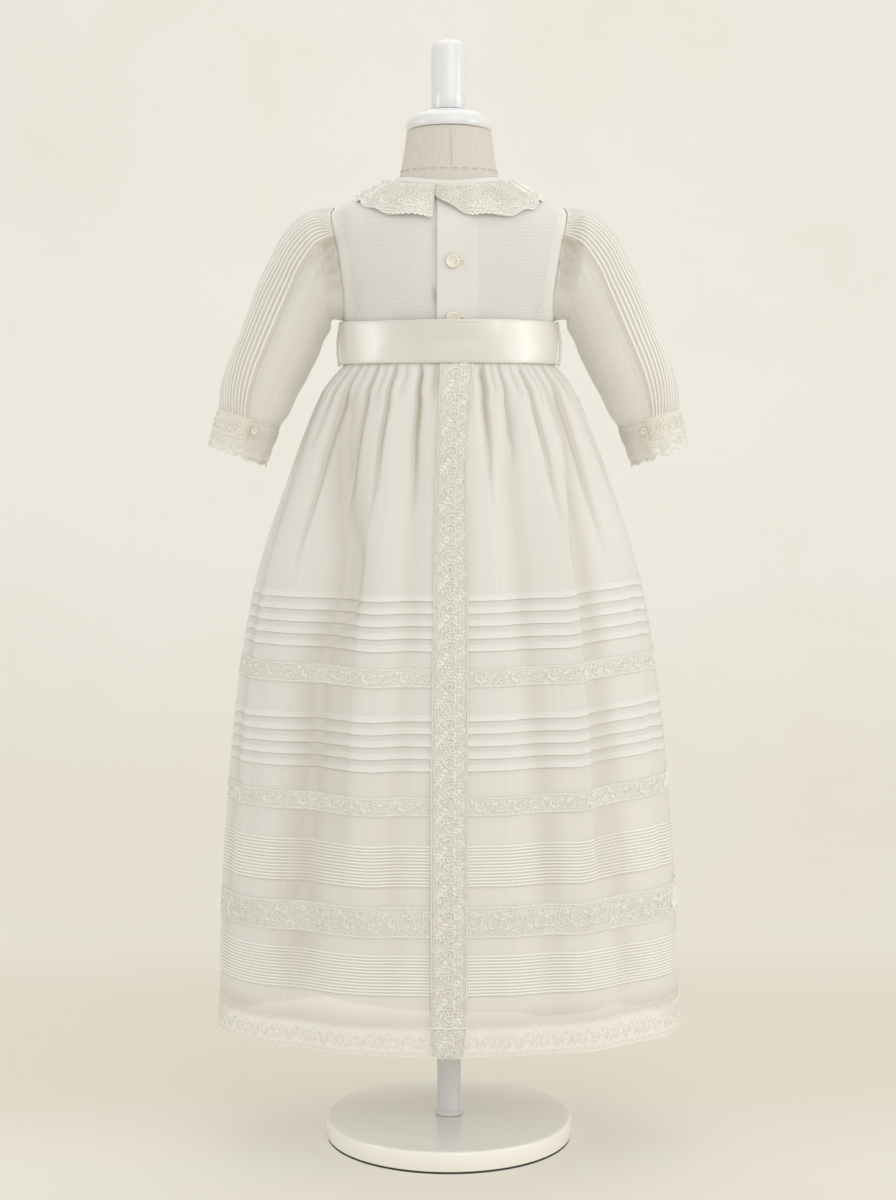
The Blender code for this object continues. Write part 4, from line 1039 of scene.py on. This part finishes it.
for number, (top, foot) in enumerate(skirtPlan["laceBands"], 1):
    laceBand("laceBand%d" % number, "lace_band_%d" % number, top, foot, bandUnit, band["pitches"][number - 1],
             "bandNet", "laceThread")
laceBand("hemLace", "hem_lace", skirtPlan["hemSeam"], skirtPlan["hemFoot"], hemUnit, band["hemPitch"],
         "fineNet", "softThread")
print("lace bands ready")

# lace down the centre back: height, centre and half width
stripTable = smoothTable(
    (0.0960, -0.0004, 0.0120), (0.1250, 0.0, 0.0142), (0.2000, 0.0001, 0.0147), (0.3100, 0.0002, 0.0147),
    (0.4500, 0.0014, 0.0138), (0.5100, 0.0014, 0.0131), (0.5700, 0.0022, 0.0122), (0.6226, 0.0050, 0.0128),
    (0.6425, 0.0064, 0.0132))
strip = {"top": 0.6427, "foot": 0.0958, "width": 0.029, "cutWidth": 0.028, "length": 0.548, "count": 18,
         "standOff": 0.0016, "columns": 12, "rows": 180}


def onStrip(across, level, out):
    # across from -1 to 1; the strip bears on the lips of the tucks
    centre, halfWidth = stripTable(level)
    wave = 0.00008 * np.sin(level * 190) * np.abs(across) ** 3
    angle = backAngle(skirtTable, centre + halfWidth * across, level)
    return standOff(skirtForm, angle, level, strip["standOff"] + wave + out)


def stripShape(column, row):
    # its first and last columns turn in to the cloth, as thick as the lace
    half = strip["columns"] / 2
    level = strip["top"] + (strip["foot"] - strip["top"]) * (row / strip["rows"])
    rim = (column == 0) | (column == strip["columns"])
    return onStrip(np.clip((column - half) / (half - 1), -1, 1), level, -strip["standOff"] * rim)


def stripUnit(pitch, height):
    # wandering cords, scrolls and small rings between looped edge threads
    pieces = meanders(pitch, height, (0.50, 0.30, 1, 11, 0.3, 0.00033, 132), (0.52, 0.32, 2, 13, 1.9, 0.00033, 156),
                      (0.28, 0.12, 2, 12, 0.8, 0.00033, 144), (0.72, 0.12, 2, 12, 2.6, 0.00033, 144))
    scroll = np.linspace(0, 1.7 * turn, 26)
    radius = height * (0.04 + 0.14 * scroll / scroll[-1])
    pieces += [cord(pitch * x + radius * np.cos(scroll), height / 2 + way * radius * np.sin(scroll), 0.00045, 0.00036)
               for x, way in ((0.30, 1), (0.80, -1))]
    pieces += [ring(pitch * x, height * y, 0.0009) for x, y in (
        (0.04, 0.78), (0.30, 0.86), (0.52, 0.66), (0.50, 0.34), (0.75, 0.84), (0.84, 0.16), (0.33, 0.16))]
    pieces += edgings(pitch, height, 0.0010, 13, 0.0009)
    return pieces + [cord(np.linspace(0, pitch, 9), level, 0.0002, 0.0002) for level in (0.0024, height - 0.0024)]


stripLength = strip["top"] - strip["foot"]
stripNet = settle(clothGrid(strip["columns"], strip["rows"], stripShape), "backLaceStrip", "back_lace_strip",
                  "laceNet", (strip["cutWidth"], stripLength))
across = np.linspace(-1, 1, 61)
seam = tube(onStrip(np.linspace(-1, 1, 25), np.full(25, skirtPlan["hemSeam"] + 0.0008), 0.0008), 0.00050)
picot = tube(onStrip(across, strip["foot"] - 0.0002 - 0.0012 * np.abs(np.sin((across + 1) / 2 * 5 * math.pi)), 0.0003),
             0.0003, 4)
stripMotifs = motifsOf("backLaceMotifs", stripUnit, strip["count"], stripLength, strip["width"],
                       lambda x, y, z: onStrip(y / strip["width"] * 2 - 1, strip["top"] - x, 0.0001 + z),
                       "laceThread", (seam, picot))
print("centre-back lace ready")

# sash
sash = {"foot": 0.6430, "height": 0.0342, "bulge": 0.0032, "thick": 0.0012, "columns": 300, "rows": 22}


def waistForm(angle, height):
    # the skirt's own waist, carried straight up, with the sash's bulge at the centre back
    halfWidth, halfDepth, squareness, share = skirtTable(np.full_like(height, 0.66))
    x, y = roundedOval(halfWidth, halfDepth, squareness, angle)
    near = np.maximum(0, 1 - (fromCentreBack(angle) / math.radians(24)) ** 4) ** 1.5
    y = y - sash["bulge"] * near * np.maximum(0, 2 * (height - sash["foot"]) / sash["height"] - 1)
    return np.stack((x, y, height), -1)


def sashShape(column, row):
    angle = column * turn / sash["columns"]
    share = row / sash["rows"]
    diagonal = np.sin(7 * angle + 2.4 * (share - 0.5) + 0.9 * np.sin(3 * angle + 0.5) - 0.6)
    slack = 0.0008 * diagonal * (0.35 + 0.65 * np.sin(math.pi * np.clip(share, 0, 1)))
    slack = slack + 0.00006 * np.sin(23 * angle - 3 * share)
    crown = 0.0004 * np.sin(math.pi * share)
    level = sash["foot"] + (sash["height"] + 0.0005 * np.sin(3 * angle + 0.6)) * (1 - share)
    return standOff(waistForm, angle, level, 0.0003 + sash["thick"] + 0.0004 + slack + crown)


sashPiece = clothGrid(sash["columns"], sash["rows"], sashShape, closed=True,
                      spacing=np.linspace(0, 1, sash["rows"] + 1), wall=sash["thick"])
x, y, z = pointsOf(sashPiece).T
# painted shade: the middle of the sash, between its two bright sides, darker along a slight slant
mark(sashPiece, "hollow", 0.9 * np.exp(-(np.abs(x + 0.006 + 0.6 * (z - 0.660)) / 0.045) ** 4))
settle(sashPiece, "waistSash", "waist_sash", "satin", (0.48, 0.034))
print("sash ready")

# sleeves: outer x and z, inner x and z, half depth, first and last tuck in degrees from the top
sleeveStations = np.array((
    (0.1106, 0.7679, 0.0953, 0.6795, 0.0405, 31, 71), (0.1240, 0.7607, 0.0965, 0.6730, 0.0400, 30, 76),
    (0.1359, 0.7470, 0.0988, 0.6682, 0.0388, 29, 79), (0.1449, 0.7301, 0.1017, 0.6625, 0.0375, 28, 81),
    (0.1540, 0.7123, 0.1054, 0.6544, 0.0365, 26, 82), (0.1619, 0.6921, 0.1099, 0.6442, 0.0350, 23, 81),
    (0.1698, 0.6710, 0.1161, 0.6316, 0.0330, 21, 80), (0.1777, 0.6523, 0.1228, 0.6194, 0.0315, 23, 81),
    (0.1848, 0.6332, 0.1298, 0.6059, 0.0300, 31, 84), (0.1880, 0.6165, 0.1358, 0.5965, 0.0285, 40, 88),
    (0.1884, 0.6073, 0.1386, 0.5925, 0.0266, 45, 90)))
sleeve = {"crown": 8, "tucks": 48, "under": 34, "tuckDepth": 0.0012, "flat": (0.24, 0.19), "cutWidth": 0.22,
          "ridge": (0.0, 0.35, 0.9, 1.0, 0.45, 0.05)}


def armholeEdge(around, inward, out):
    # a point near the armhole's edge: round it, in from it, and off the bodice
    reach = armhole["reach"] + inward * 11
    angle = math.pi / 2 - reach * np.abs(np.sin(around)) - inward * 0.5
    height = armhole["middle"] + (armhole["half"] + inward * 0.9) * np.cos(around)
    points = standOff(torso, angle, height, out + armhole["crest"] * np.maximum(0, np.cos(around)) ** 4)
    points[..., 1] = np.copysign(points[..., 1], -np.sin(around))
    return points


def sectionPoint(station, around, out):
    # a point on a section across the arm; the turn runs from the outer edge over the back
    station = np.moveaxis(np.broadcast_to(station, np.shape(around) + (np.shape(station)[-1],)), -1, 0)
    outerX, outerZ, innerX, innerZ, halfDepth = station
    armX, armZ = (outerX - innerX) / 2, (outerZ - innerZ) / 2
    length = np.hypot(armX, armZ)
    side, back = np.cos(around), np.sin(around)
    normal = np.stack((armX / length * halfDepth * side, -length * back, armZ / length * halfDepth * side), -1)
    points = np.stack(((outerX + innerX) / 2 + armX * side, -halfDepth * back,
                       (outerZ + innerZ) / 2 + armZ * side), -1)
    return points + np.asarray(out)[..., None] * normalised(normal)


def sleeveTurns(first, last):
    # the turn of every column: over the crown, the back tucks, under the arm and the front tucks
    first, last = math.radians(first), math.radians(last)
    back = np.append(np.linspace(0, first, sleeve["crown"] + 1), np.linspace(first, last, sleeve["tucks"] + 1)[1:])
    under = np.linspace(last, turn - last, sleeve["under"] + 1)[1:]
    return np.concatenate((back, under, (turn - back[::-1])[1:]))


def sleeveGrid():
    # rows of points down the sleeve, drawn smoothly through the armhole and the stations
    turns = np.array([sleeveTurns(34, 58)] + [sleeveTurns(*station[5:]) for station in sleeveStations])
    controls = [armholeEdge(turns[0], 0.0012, bodiceFace + 0.0002)]
    controls += [sectionPoint(station[:5], around, 0.0) for station, around in zip(sleeveStations, turns[1:])]
    controls = np.array(controls)
    padded = np.concatenate((2 * controls[:1] - controls[1:2], controls, 2 * controls[-1:] - controls[-2:-1]))
    lines, places = [], []
    for row in range(len(controls) - 1):
        a, b, c, d = padded[row:row + 4]
        for s in (0, 0.03, 0.06, 0.09, 0.14, *np.arange(2, 8) / 8) if row == 0 else np.arange(8) / 8:
            lines.append(0.5 * (2 * b + (c - a) * s + (2 * a - 5 * b + 4 * c - d) * s**2
                                + (3 * b - a - 3 * c + d) * s**3))
            places.append(row + s)
    lines.append(controls[-1])
    places.append(len(controls) - 1)
    blended = np.array([np.interp(places, range(len(turns)), column) for column in turns.T]).T
    return np.array(lines), np.array(places)[:, None], blended


def bothSides(tucks):
    # the same on the back and the front of the sleeve, with nothing over the crown and under the arm
    side = np.concatenate((np.zeros(sleeve["crown"]), tucks))
    return np.concatenate((side, np.zeros(sleeve["under"] - 1), side[::-1]))


sleeveLines, sleevePlaces, sleeveAround = sleeveGrid()
tuckRidges = bothSides(np.append(np.resize(sleeve["ridge"], sleeve["tucks"]), 0.0))
tuckedPart = bothSides(np.ones(sleeve["tucks"] + 1))
# short gathers at the armhole: degrees round the arm, spread in degrees, depth in mm
headGathers = (
    (66, 3.0, 3.2), (75, 3.0, 2.6), (85, 3.6, 3.2), (97, 4, 2.4), (111, 5, 1.8), (294, 3.0, 3.0), (285, 3.0, 2.6),
    (274, 3.6, 3.0), (262, 4, 2.2), (14, 5, 1.0), (346, 5, 1.0))


def headFolds(unit):
    found = np.zeros_like(sleeveAround)
    for middle, spread, depth in headGathers:
        middle = np.radians(middle + np.sign(180 - middle) * 8 * sleevePlaces)
        near = swell(sleeveAround, middle, math.radians(spread)) * swell(sleevePlaces, 0.4, 0.32 * depth)
        found += depth * unit * near
    return found


def sleeveRelief():
    # tucks, the gathers at the armhole and soft creases where the arm bends
    place = sleevePlaces
    ridges = tuckRidges * sleeve["tuckDepth"] * smoothStep(0.02, 0.8, place) * (1 - 0.6 * smoothStep(10.2, 11.0, place))
    under = smoothStep(1.5, 2.3, sleeveAround) * smoothStep(turn - 1.5, turn - 2.3, sleeveAround)
    bend = 0.00030 * np.sin(place * 1.7 + sleeveAround * 1.4) + 0.00018 * np.sin(place * 2.9 - sleeveAround * 2.2)
    bend = bend * under * smoothStep(2.0, 4.0, place) * smoothStep(11.0, 9.5, place)
    return ridges + 0.0004 * swell(place, 0.06, 0.03) - headFolds(mm) * smoothStep(0.06, 0.16, place) + bend


def sleeveHollow():
    # the shade between tucks, in the gathers and down the inner arm
    groove = 0.58 * tuckedPart * np.maximum(0, 1 - tuckRidges * 1.6)
    inner = 0.22 * swell(np.abs(sleeveAround - math.pi), 0.55, 0.45)
    inner = inner * smoothStep(1.0, 3.0, sleevePlaces) * smoothStep(10.0, 6.5, sleevePlaces)
    return np.clip(groove + headFolds(1 / 3.0) + inner, 0, 0.9)


around = np.roll(sleeveLines[:, :-1], -1, axis=1) - np.roll(sleeveLines[:, :-1], 1, axis=1)
around = np.concatenate((around, around[:, :1]), axis=1)
normal = normalised(np.cross(np.gradient(sleeveLines, axis=0), around))
normal *= np.sign((normal * (sleeveLines - sleeveLines.mean(axis=1, keepdims=True))).sum(-1, keepdims=True))
sleevePoints = sleeveLines + normal * sleeveRelief()[..., None]
sleeveLength = measured(sleeveLines[:, 40])
for side, label in ((-1, "Left"), (1, "Right")):
    rows, columns = len(sleeveLines) - 1, len(tuckRidges) - 1
    # the turn runs against the columns on the right arm, so that the faces look outward
    piece = clothGrid(columns, rows, lambda column, row: sleevePoints[row, column if side < 0 else columns - column]
                      * (side, 1, 1), spacing=sleeveLength / sleeveLength[-1])
    sewnEdge = 0.75 * smoothStep(0.16, 0.06, sleevePlaces[::-1])
    mark(piece, "folded", np.maximum(tuckRidges, sewnEdge).ravel())
    mark(piece, "hollow", sleeveHollow()[::-1, ::-side].ravel())
    weld()
    settle(piece, "sleeve" + label, "sleeve_" + label.lower(), "sleeveCloth",
           (sleeve["cutWidth"], sleeveLength[-1]))
print("sleeves ready")

# cuffs
cuffBandRows = np.array(((0.1883, 0.6077, 0.1386, 0.5928, 0.0262), (0.1936, 0.5898, 0.1443, 0.5761, 0.0259)))
cuffFrillRows = np.array(((0.1935, 0.5901, 0.1442, 0.5764, 0.0258), (0.1976, 0.5781, 0.1502, 0.5606, 0.0268)))
cuff = {"length": 0.130, "bandHeight": 0.0178, "frillHeight": 0.0140, "bandUnits": 7, "frillUnits": 11,
        "lapTurn": math.radians(104), "lapEnd": math.radians(168), "buttonTurn": math.radians(109),
        "lapColumns": 20, "lapRows": 14}


def cuffPlace(ends, relief, side, share, down, out=0.0):
    # a point of a cuff: its share of the way round, its share of the way down, and how far out
    around = turn * share if side < 0 else turn * (1 - share)
    station = ends[0] + (ends[1] - ends[0]) * down[..., None]
    return sectionPoint(station, around, relief(around, down) + out) * (side, 1, 1)


def bandRelief(around, share):
    edge = smoothStep(cuff["lapTurn"] + 0.03, cuff["lapTurn"] - 0.03, around) * smoothStep(0.0, 0.3, around)
    return 0.0004 * np.sin(math.pi * share) + 0.0007 * edge


def frillRelief(around, share):
    wave = 0.5 - 0.5 * np.cos(10 * around + 0.5 * np.sin(3 * around))
    return -0.0018 * wave * share - 0.0005 * share * np.sin(20 * around)


def cuffUnit(pitch, height):
    # a looped medallion among wandering cords, between two looped edges
    pieces = loopedRings(pitch * 0.30, height * 0.52, height, (0.07, 0.02, 5), (0.17, 0.035, 7), (0.27, 0.04, 9))
    pieces += meanders(pitch, height, (0.5, 0.28, 2, 7, 0.5, 0.0002, 80), (0.45, 0.20, 3, 8, 1.9, 0.0002, 80))
    return pieces + edgings(pitch, height, 0.0008, 8, 0.0006)


def frillUnit(pitch, height):
    # a looped ring over a scalloped edge
    pieces = loopedRings(pitch * 0.5, height * 0.52, height, (0.08, 0.02, 5), (0.20, 0.04, 7))
    pieces += meanders(pitch, height, (0.70, 0.12, 2, 5, 0.4, 0.00018, 60))
    pieces += [ring(pitch * x, height * 0.60, height * 0.08) for x in (0.1, 0.9)]
    share = np.linspace(0, 1, 33)
    edge = height * 0.20 - height * 0.26 * np.sin(math.pi * share)
    return pieces + [cord(share * pitch, edge + 0.0008 * np.abs(np.sin(8 * math.pi * share)), 0.0002, 0.0003),
                     cord(share * pitch, edge + 0.0014, 0.0002, 0.00022)]


def cuffPart(name, node, side, ends, relief, grid, unit, count, height, look):
    # a net round the cuff with its worked motifs
    columns, rows = grid
    net = clothGrid(columns, rows, lambda column, row: cuffPlace(ends, relief, side, column / columns, row / rows),
                    closed=True)
    label = "Left" if side < 0 else "Right"
    settle(net, name + label, node + label.lower(), look, (cuff["length"], height))
    return net, motifsOf(name + "Motifs" + label, unit, count, cuff["length"], height, lambda x, y, z: cuffPlace(
        ends, relief, side, x / cuff["length"], 1 - y / height, 0.0002 + z))


def fromLap(piece, side):
    # the turn at every point of a cuff, from where its opening laps on the back
    x, y, z = pointsOf(piece).T
    outer, inner = cuffBandRows[:, 0].mean(), cuffBandRows[:, 2].mean()
    return np.arctan2(-y / 0.026, (side * x - (outer + inner) / 2) / ((outer - inner) / 2)) % turn - cuff["lapTurn"]


def cuffLap(side):
    # the plain end of the opening, over the lace from the lap edge to the inner arm
    def shape(column, row):
        share = (column if side < 0 else cuff["lapColumns"] - column) / cuff["lapColumns"]
        around = cuff["lapTurn"] + (cuff["lapEnd"] - cuff["lapTurn"]) * share
        down = np.clip(row, 1, cuff["lapRows"] - 1) / cuff["lapRows"]
        station = cuffBandRows[0] + (cuffFrillRows[1] - cuffBandRows[0]) * (0.01 + 0.97 * down)[..., None]
        out = 0.0017 - 0.0010 * smoothStep(0.6, 1.0, share) + 0.0002 * np.sin(9 * down + 3 * around)
        return sectionPoint(station, around, out) * (side, 1, 1)
    return clothGrid(cuff["lapColumns"], cuff["lapRows"], shape)


for side, label in ((-1, "Left"), (1, "Right")):
    cuffBand, worked = cuffPart("cuffBand", "cuff_band_", side, cuffBandRows, bandRelief, (96, 6),
                                cuffUnit, cuff["bandUnits"], cuff["bandHeight"], "cuffNet")
    # a darker, yellower tone along the lap edge of the opening and round the button, and fainter a little way round
    # from it
    near = fromLap(cuffBand, side)
    mark(cuffBand, "hollow", 0.8 * swell(near, 0, 0.34) + 0.25 * swell(near, -0.6, 0.5))
    lap = settle(cuffLap(side), "cuffLap" + label, None, "cuffCloth")
    # the same darker, yellower tone on the lap, along its edge
    mark(lap, "hollow", 0.4 * swell(fromLap(lap, side), 0, 0.32))
    frill, worked = cuffPart("cuffLace", "cuff_lace_", side, cuffFrillRows, frillRelief, (160, 8),
                             frillUnit, cuff["frillUnits"], cuff["frillHeight"], "fineNet")
print("cuffs ready")

# back opening
placket = {"left": -0.0096, "right": 0.0240, "stitch": 0.0232, "top": 0.7835, "foot": 0.6606, "columns": 20, "rows": 80}
buttonPlan = {"x": 0.0030, "radius": 0.0057, "thick": 0.0020, "levels": (0.7735, 0.7224, 0.6780),
              "cuffRadius": 0.0030, "cuffThick": 0.0017}


def placketShape(column, row):
    level = placket["top"] + (placket["foot"] - placket["top"]) * row / placket["rows"]
    x = placket["left"] + (placket["right"] - placket["left"]) * column / placket["columns"]
    edge = 0.0005 * swell(x, placket["left"], 0.0014) - 0.0003 * swell(x, placket["stitch"], 0.0008)
    wave = 0.00022 * np.sin(level * 120 + 1) * smoothStep(0.0, placket["left"], x)
    return onBack(x, level, placketFace + edge + wave - 0.0012 * smoothStep(0.016, 0.0238, x))


placketPiece = clothGrid(placket["columns"], placket["rows"], placketShape, wall=stack["organza"] + stack["seamGap"])
settle(placketPiece, "backPlacket", "back_placket", "placketCloth")
# painted shadow: a dark line on the left back panel just beside the placket's edge, darker lower down
x, y, z = pointsOf(bodiceLeft).T
mark(bodiceLeft, "hollow", 0.9 * swell(x, -0.0107, 0.0013) * smoothStep(0.780, 0.74, z))


def backLine(points, out):
    # a line on the bodice through x and height pairs
    x, level = [np.interp(np.linspace(0, 1, 30), np.linspace(0, 1, len(points)), values) for values in zip(*points)]
    return onBack(x, level, out)


sewn = []
for side in (-1, 1):
    dart = backLine(((side * 0.0765, 0.7000), (side * 0.0700, 0.6885), (side * 0.0665, 0.6780)), bodiceFace + 0.00015)
    sewn += stitched(dart, 11, 0.35, 0.00016)
settle(joined(sewn), "bodiceStitches", None, "seamThread")


def seated(piece, point, normal):
    # turns a piece made round the z axis onto a point of the cloth
    normal = np.array(normal, float) / np.linalg.norm(normal)
    side = normalised(np.cross((0, 0, 1), normal))
    axes = np.array((side, np.cross(normal, side), normal))
    return laidOn(piece, lambda *along: np.array(point) + np.stack(along, -1) @ axes)


def pearlButton(name, node, radius, thick, point, normal):
    # a turned button: raised rim, dished face, two holes and the thread through them
    outline = [(0, 0.62), (0.30, 0.60), (0.52, 0.66), (0.66, 0.86), (0.78, 1), (0.88, 0.97), (0.97, 0.78), (1, 0.5),
               (0.97, 0.22), (0.86, 0), (0, 0)]
    piece = lathe(name, node, np.array(outline) * (radius, thick), 40, "pearl")
    # darker and yellower round the rim's outer edge and in a ring where the dish meets the rim
    x, y, z = pointsOf(piece).T
    away = np.hypot(x, y) / radius
    mark(piece, "hollow", 0.75 * smoothStep(0.86, 0.98, away) + 0.35 * swell(away, 0.56, 0.08))
    seated(piece, point, normal)
    threads = [tube([(radius * x, -radius * 0.22, thick * 0.62), (radius * x, 0, thick * 0.80),
                     (radius * x, radius * 0.22, thick * 0.62)], radius * 0.055) for x in (-0.16, 0.16)]
    threads += [hoop(radius * x, radius * y, radius * 0.075, 8, thick * 0.63, radius * 0.028)
                for x in (-0.16, 0.16) for y in (-0.22, 0.22)]
    settle(seated(joined(threads), point, normal), name + "Thread", None, "sewing")


holes = []
for number, level in enumerate(buttonPlan["levels"], 1):
    seat, outer = [onBack(buttonPlan["x"], level, placketFace + out) for out in (0.0003, 0.0013)]
    pearlButton("backButton%d" % number, "back_button_%d" % number, buttonPlan["radius"], buttonPlan["thick"],
                seat, outer - seat)
    slit = [[(-0.0045, 0.0009), (0.0090, 0.0009)], [(-0.0045, -0.0009), (0.0090, -0.0009)],
            [(0.0092, -0.0017), (0.0092, 0.0017)]]
    for ends, thread in zip(slit, (0.0006, 0.0006, 0.0007)):
        line = backLine([(buttonPlan["x"] + x, level + z) for x, z in ends], placketFace + 0.0003)
        holes.append(tube(line, thread))
settle(joined(holes), "buttonholes", None, "sewing")
for side, label in ((-1, "Left"), (1, "Right")):
    seat, outer = [sectionPoint(cuffBandRows.mean(axis=0), cuff["buttonTurn"], out) * (side, 1, 1)
                   for out in (0.0020, 1.0020)]
    pearlButton("cuffButton" + label, "cuff_button_" + label.lower(), buttonPlan["cuffRadius"],
                buttonPlan["cuffThick"], seat, outer - seat)
print("back opening and buttons ready")

# neck binding and collar
binding = {"columns": 144, "rows": 8, "thick": 0.0012, "top": 0.0045, "foot": 0.0003}


def bindingShape(column, row):
    angle = column * turn / binding["columns"]
    share = row / binding["rows"]
    rise = binding["top"] + (binding["foot"] - binding["top"]) * share
    return standOff(torso, angle, neckline(angle) + rise, bodiceFace + 0.0004 * np.sin(math.pi * share))


bindingPiece = settle(clothGrid(binding["columns"], binding["rows"], bindingShape, closed=True, wall=binding["thick"]),
                      "neckBinding", "neck_binding", "bandCloth")

collar = {"width": 0.0235, "waves": 22, "puff": 0.0050, "fall": 0.0022, "ruffle": 0.0022, "columns": 396, "rows": 24,
          "start": math.radians(-8), "reach": turn - math.radians(1), "curve": math.radians(21),
          "length": 0.430, "height": 0.0220, "count": 26, "flat": (0.62, 0.0235), "cut": (0.42, 0.022)}


def nearOpening(angle, reach):
    return np.maximum(0, 1 - (fromCentreBack(angle) / math.radians(reach)) ** 4)


def collarTurn(share):
    # the angle, and how far on its waves are, at a share of the collar's length
    run = collar["reach"] * share
    return collar["start"] + run, collar["waves"] * run + 0.5 * np.sin(3 * run)


def onCollar(share, down, out):
    # share from one end of the collar to the other, down from its root to its edge
    angle, phase = collarTurn(share)
    drop = collar["width"] * (1 - 0.52 * np.sin(angle) ** 2) * (1 + 0.07 * (np.cos(angle) > 0))
    drop = drop * (1 + 0.12 * smoothStep(turn - 0.75, turn - 0.30, angle) + 0.15 * swell(angle, 0.42, 0.34))
    drop = drop * np.minimum(1, 0.30 + 0.70 * np.sqrt(collar["reach"] * share / collar["curve"]))
    drop = drop * (1 + 0.03 * np.cos(phase) * down)
    wave = 0.5 - 0.5 * np.cos(phase)
    root = bodiceFace + 0.0003 + 0.0015 * nearOpening(angle, 34)
    fall = collar["fall"] + (collar["puff"] - collar["fall"]) * nearOpening(angle, 30)
    upper = collar["puff"] + 0.3 * collar["ruffle"] * wave
    lower = fall + collar["ruffle"] * wave
    off = np.where(down < 0.22, root + (upper - root) * np.sin(math.pi / 2 * np.minimum(down / 0.22, 1)),
                   upper + (lower - upper) * (down - 0.22) / 0.78)
    pleats = 0.0003 * np.cos(3 * phase) * swell(down, 0.12, 0.12)
    level = neckline(angle) - 0.0006 - down * drop
    straight = backAngle(torsoTable, torso(angle, neckline(angle))[..., 0] * (1 + 0.25 * down), level)
    hang = smoothStep(math.radians(24), math.radians(9), fromCentreBack(angle))
    angle = np.where(hang > 0, (1 - hang) * ((angle + math.pi) % turn - math.pi) + hang * straight, angle)
    return standOff(torso, angle, level, off + pleats + 0.0005 + out)


def collarUnit(pitch, height):
    # a round medallion of rings over a scalloped, looped edge
    x, y = pitch * 0.5, height * 0.50
    pieces = loopedRings(x, y, height, (0.04, 0.012, 4), (0.11, 0.025, 8), (0.19, 0.028, 12), (0.26, 0.02, 15))
    pieces.append(hoop(x, y, lambda around: height * (0.28 + 0.035 * np.abs(np.sin(5.5 * around))), 66,
                       0.0002, 0.00022))
    pieces += meanders(pitch, height, (0.86, 0.06, 2, 8, 0.5, 0.0002, 80), (0.20, 0.05, 2, 8, 1.5, 0.0002, 80))
    pieces += [ring(pitch * 0.02, height * level, height * 0.07, 0.0002, 10) for level in (0.36, 0.66)]
    share = np.linspace(0, 1, 73)
    edge = height * 0.05 * (1 - np.sin(math.pi * share))
    return pieces + [cord(share * pitch, edge + 0.0010 * np.abs(np.sin(9 * math.pi * share)) - 0.0004, 0.0002, 0.00034),
                     cord(share * pitch, edge + 0.0016, 0.0002, 0.00026)]


collarNet = clothGrid(collar["columns"], collar["rows"], lambda column, row: onCollar(
    column / collar["columns"], row / collar["rows"], 0.0))
angle, phase = collarTurn(np.arange(len(collarNet.data.vertices)) % (collar["columns"] + 1) / collar["columns"])
settle(collarNet, "collarLace", "collar_lace", "collarNet", collar["cut"])
# painted shade in the troughs of the collar's waves, strongest near the opening
mark(collarNet, "hollow", 0.7 * (0.5 + 0.5 * np.cos(phase)) ** 2 * (0.2 + 0.8 * nearOpening(angle, 32)))
collarMotifs = motifsOf("collarMotifs", collarUnit, collar["count"], collar["length"], collar["height"],
                        lambda x, y, z: onCollar(np.clip(x / collar["length"], 0, 1), 1 - y / collar["height"],
                                                 0.0001 + z), "laceThread")
print("collar ready")

# belt loops: two threads twisted round each other
loopRoute = np.array(((0.0884, 0.6775), (0.0892, 0.6730), (0.0903, 0.6670), (0.0911, 0.6600),
                      (0.0909, 0.6535), (0.0903, 0.6465), (0.0897, 0.6415)))
loops = {"twist": 5.5, "swing": 0.0005, "thread": 0.00080}
share = np.linspace(0, 6, 60)
x, z = [np.interp(share, range(7), column) for column in loopRoute.T]
for side, label in ((-1, "Left"), (1, "Right")):
    strands = []
    for start in (0, math.pi):
        around = start + share * loops["twist"]
        out, back = x + loops["swing"] * np.cos(around), loops["swing"] * np.sin(around)
        strands.append(tube(np.stack((side * out, back, z), -1), loops["thread"]))
    settle(joined(strands), "beltLoop" + label, "belt_loop_" + label.lower(), "laceThread")
print("belt loops ready")

# sewing of the skirt and the sash
hemLine = np.linspace(0, turn, 361)[:-1]
settle(tube(standOff(skirtCloth, hemLine, rowHeight(hemLine, skirtPlan["hemSeam"] + 0.0006), 0.0004), 0.00050,
            closed=True), "hemSeam", None, "sewing")
seams = []
for rise in (0.0020, 0.0324):
    points = sashShape(np.linspace(0, sash["columns"], 601), (1 - rise / sash["height"]) * sash["rows"])
    points[:, :2] *= 1 + 0.0003 / np.linalg.norm(points[:, :2], axis=1)[:, None]
    seams += stitched(points, 150, 0.62, 0.00014)
settle(joined(seams), "sashStitches", None, "sewing")

print("all pieces ready")
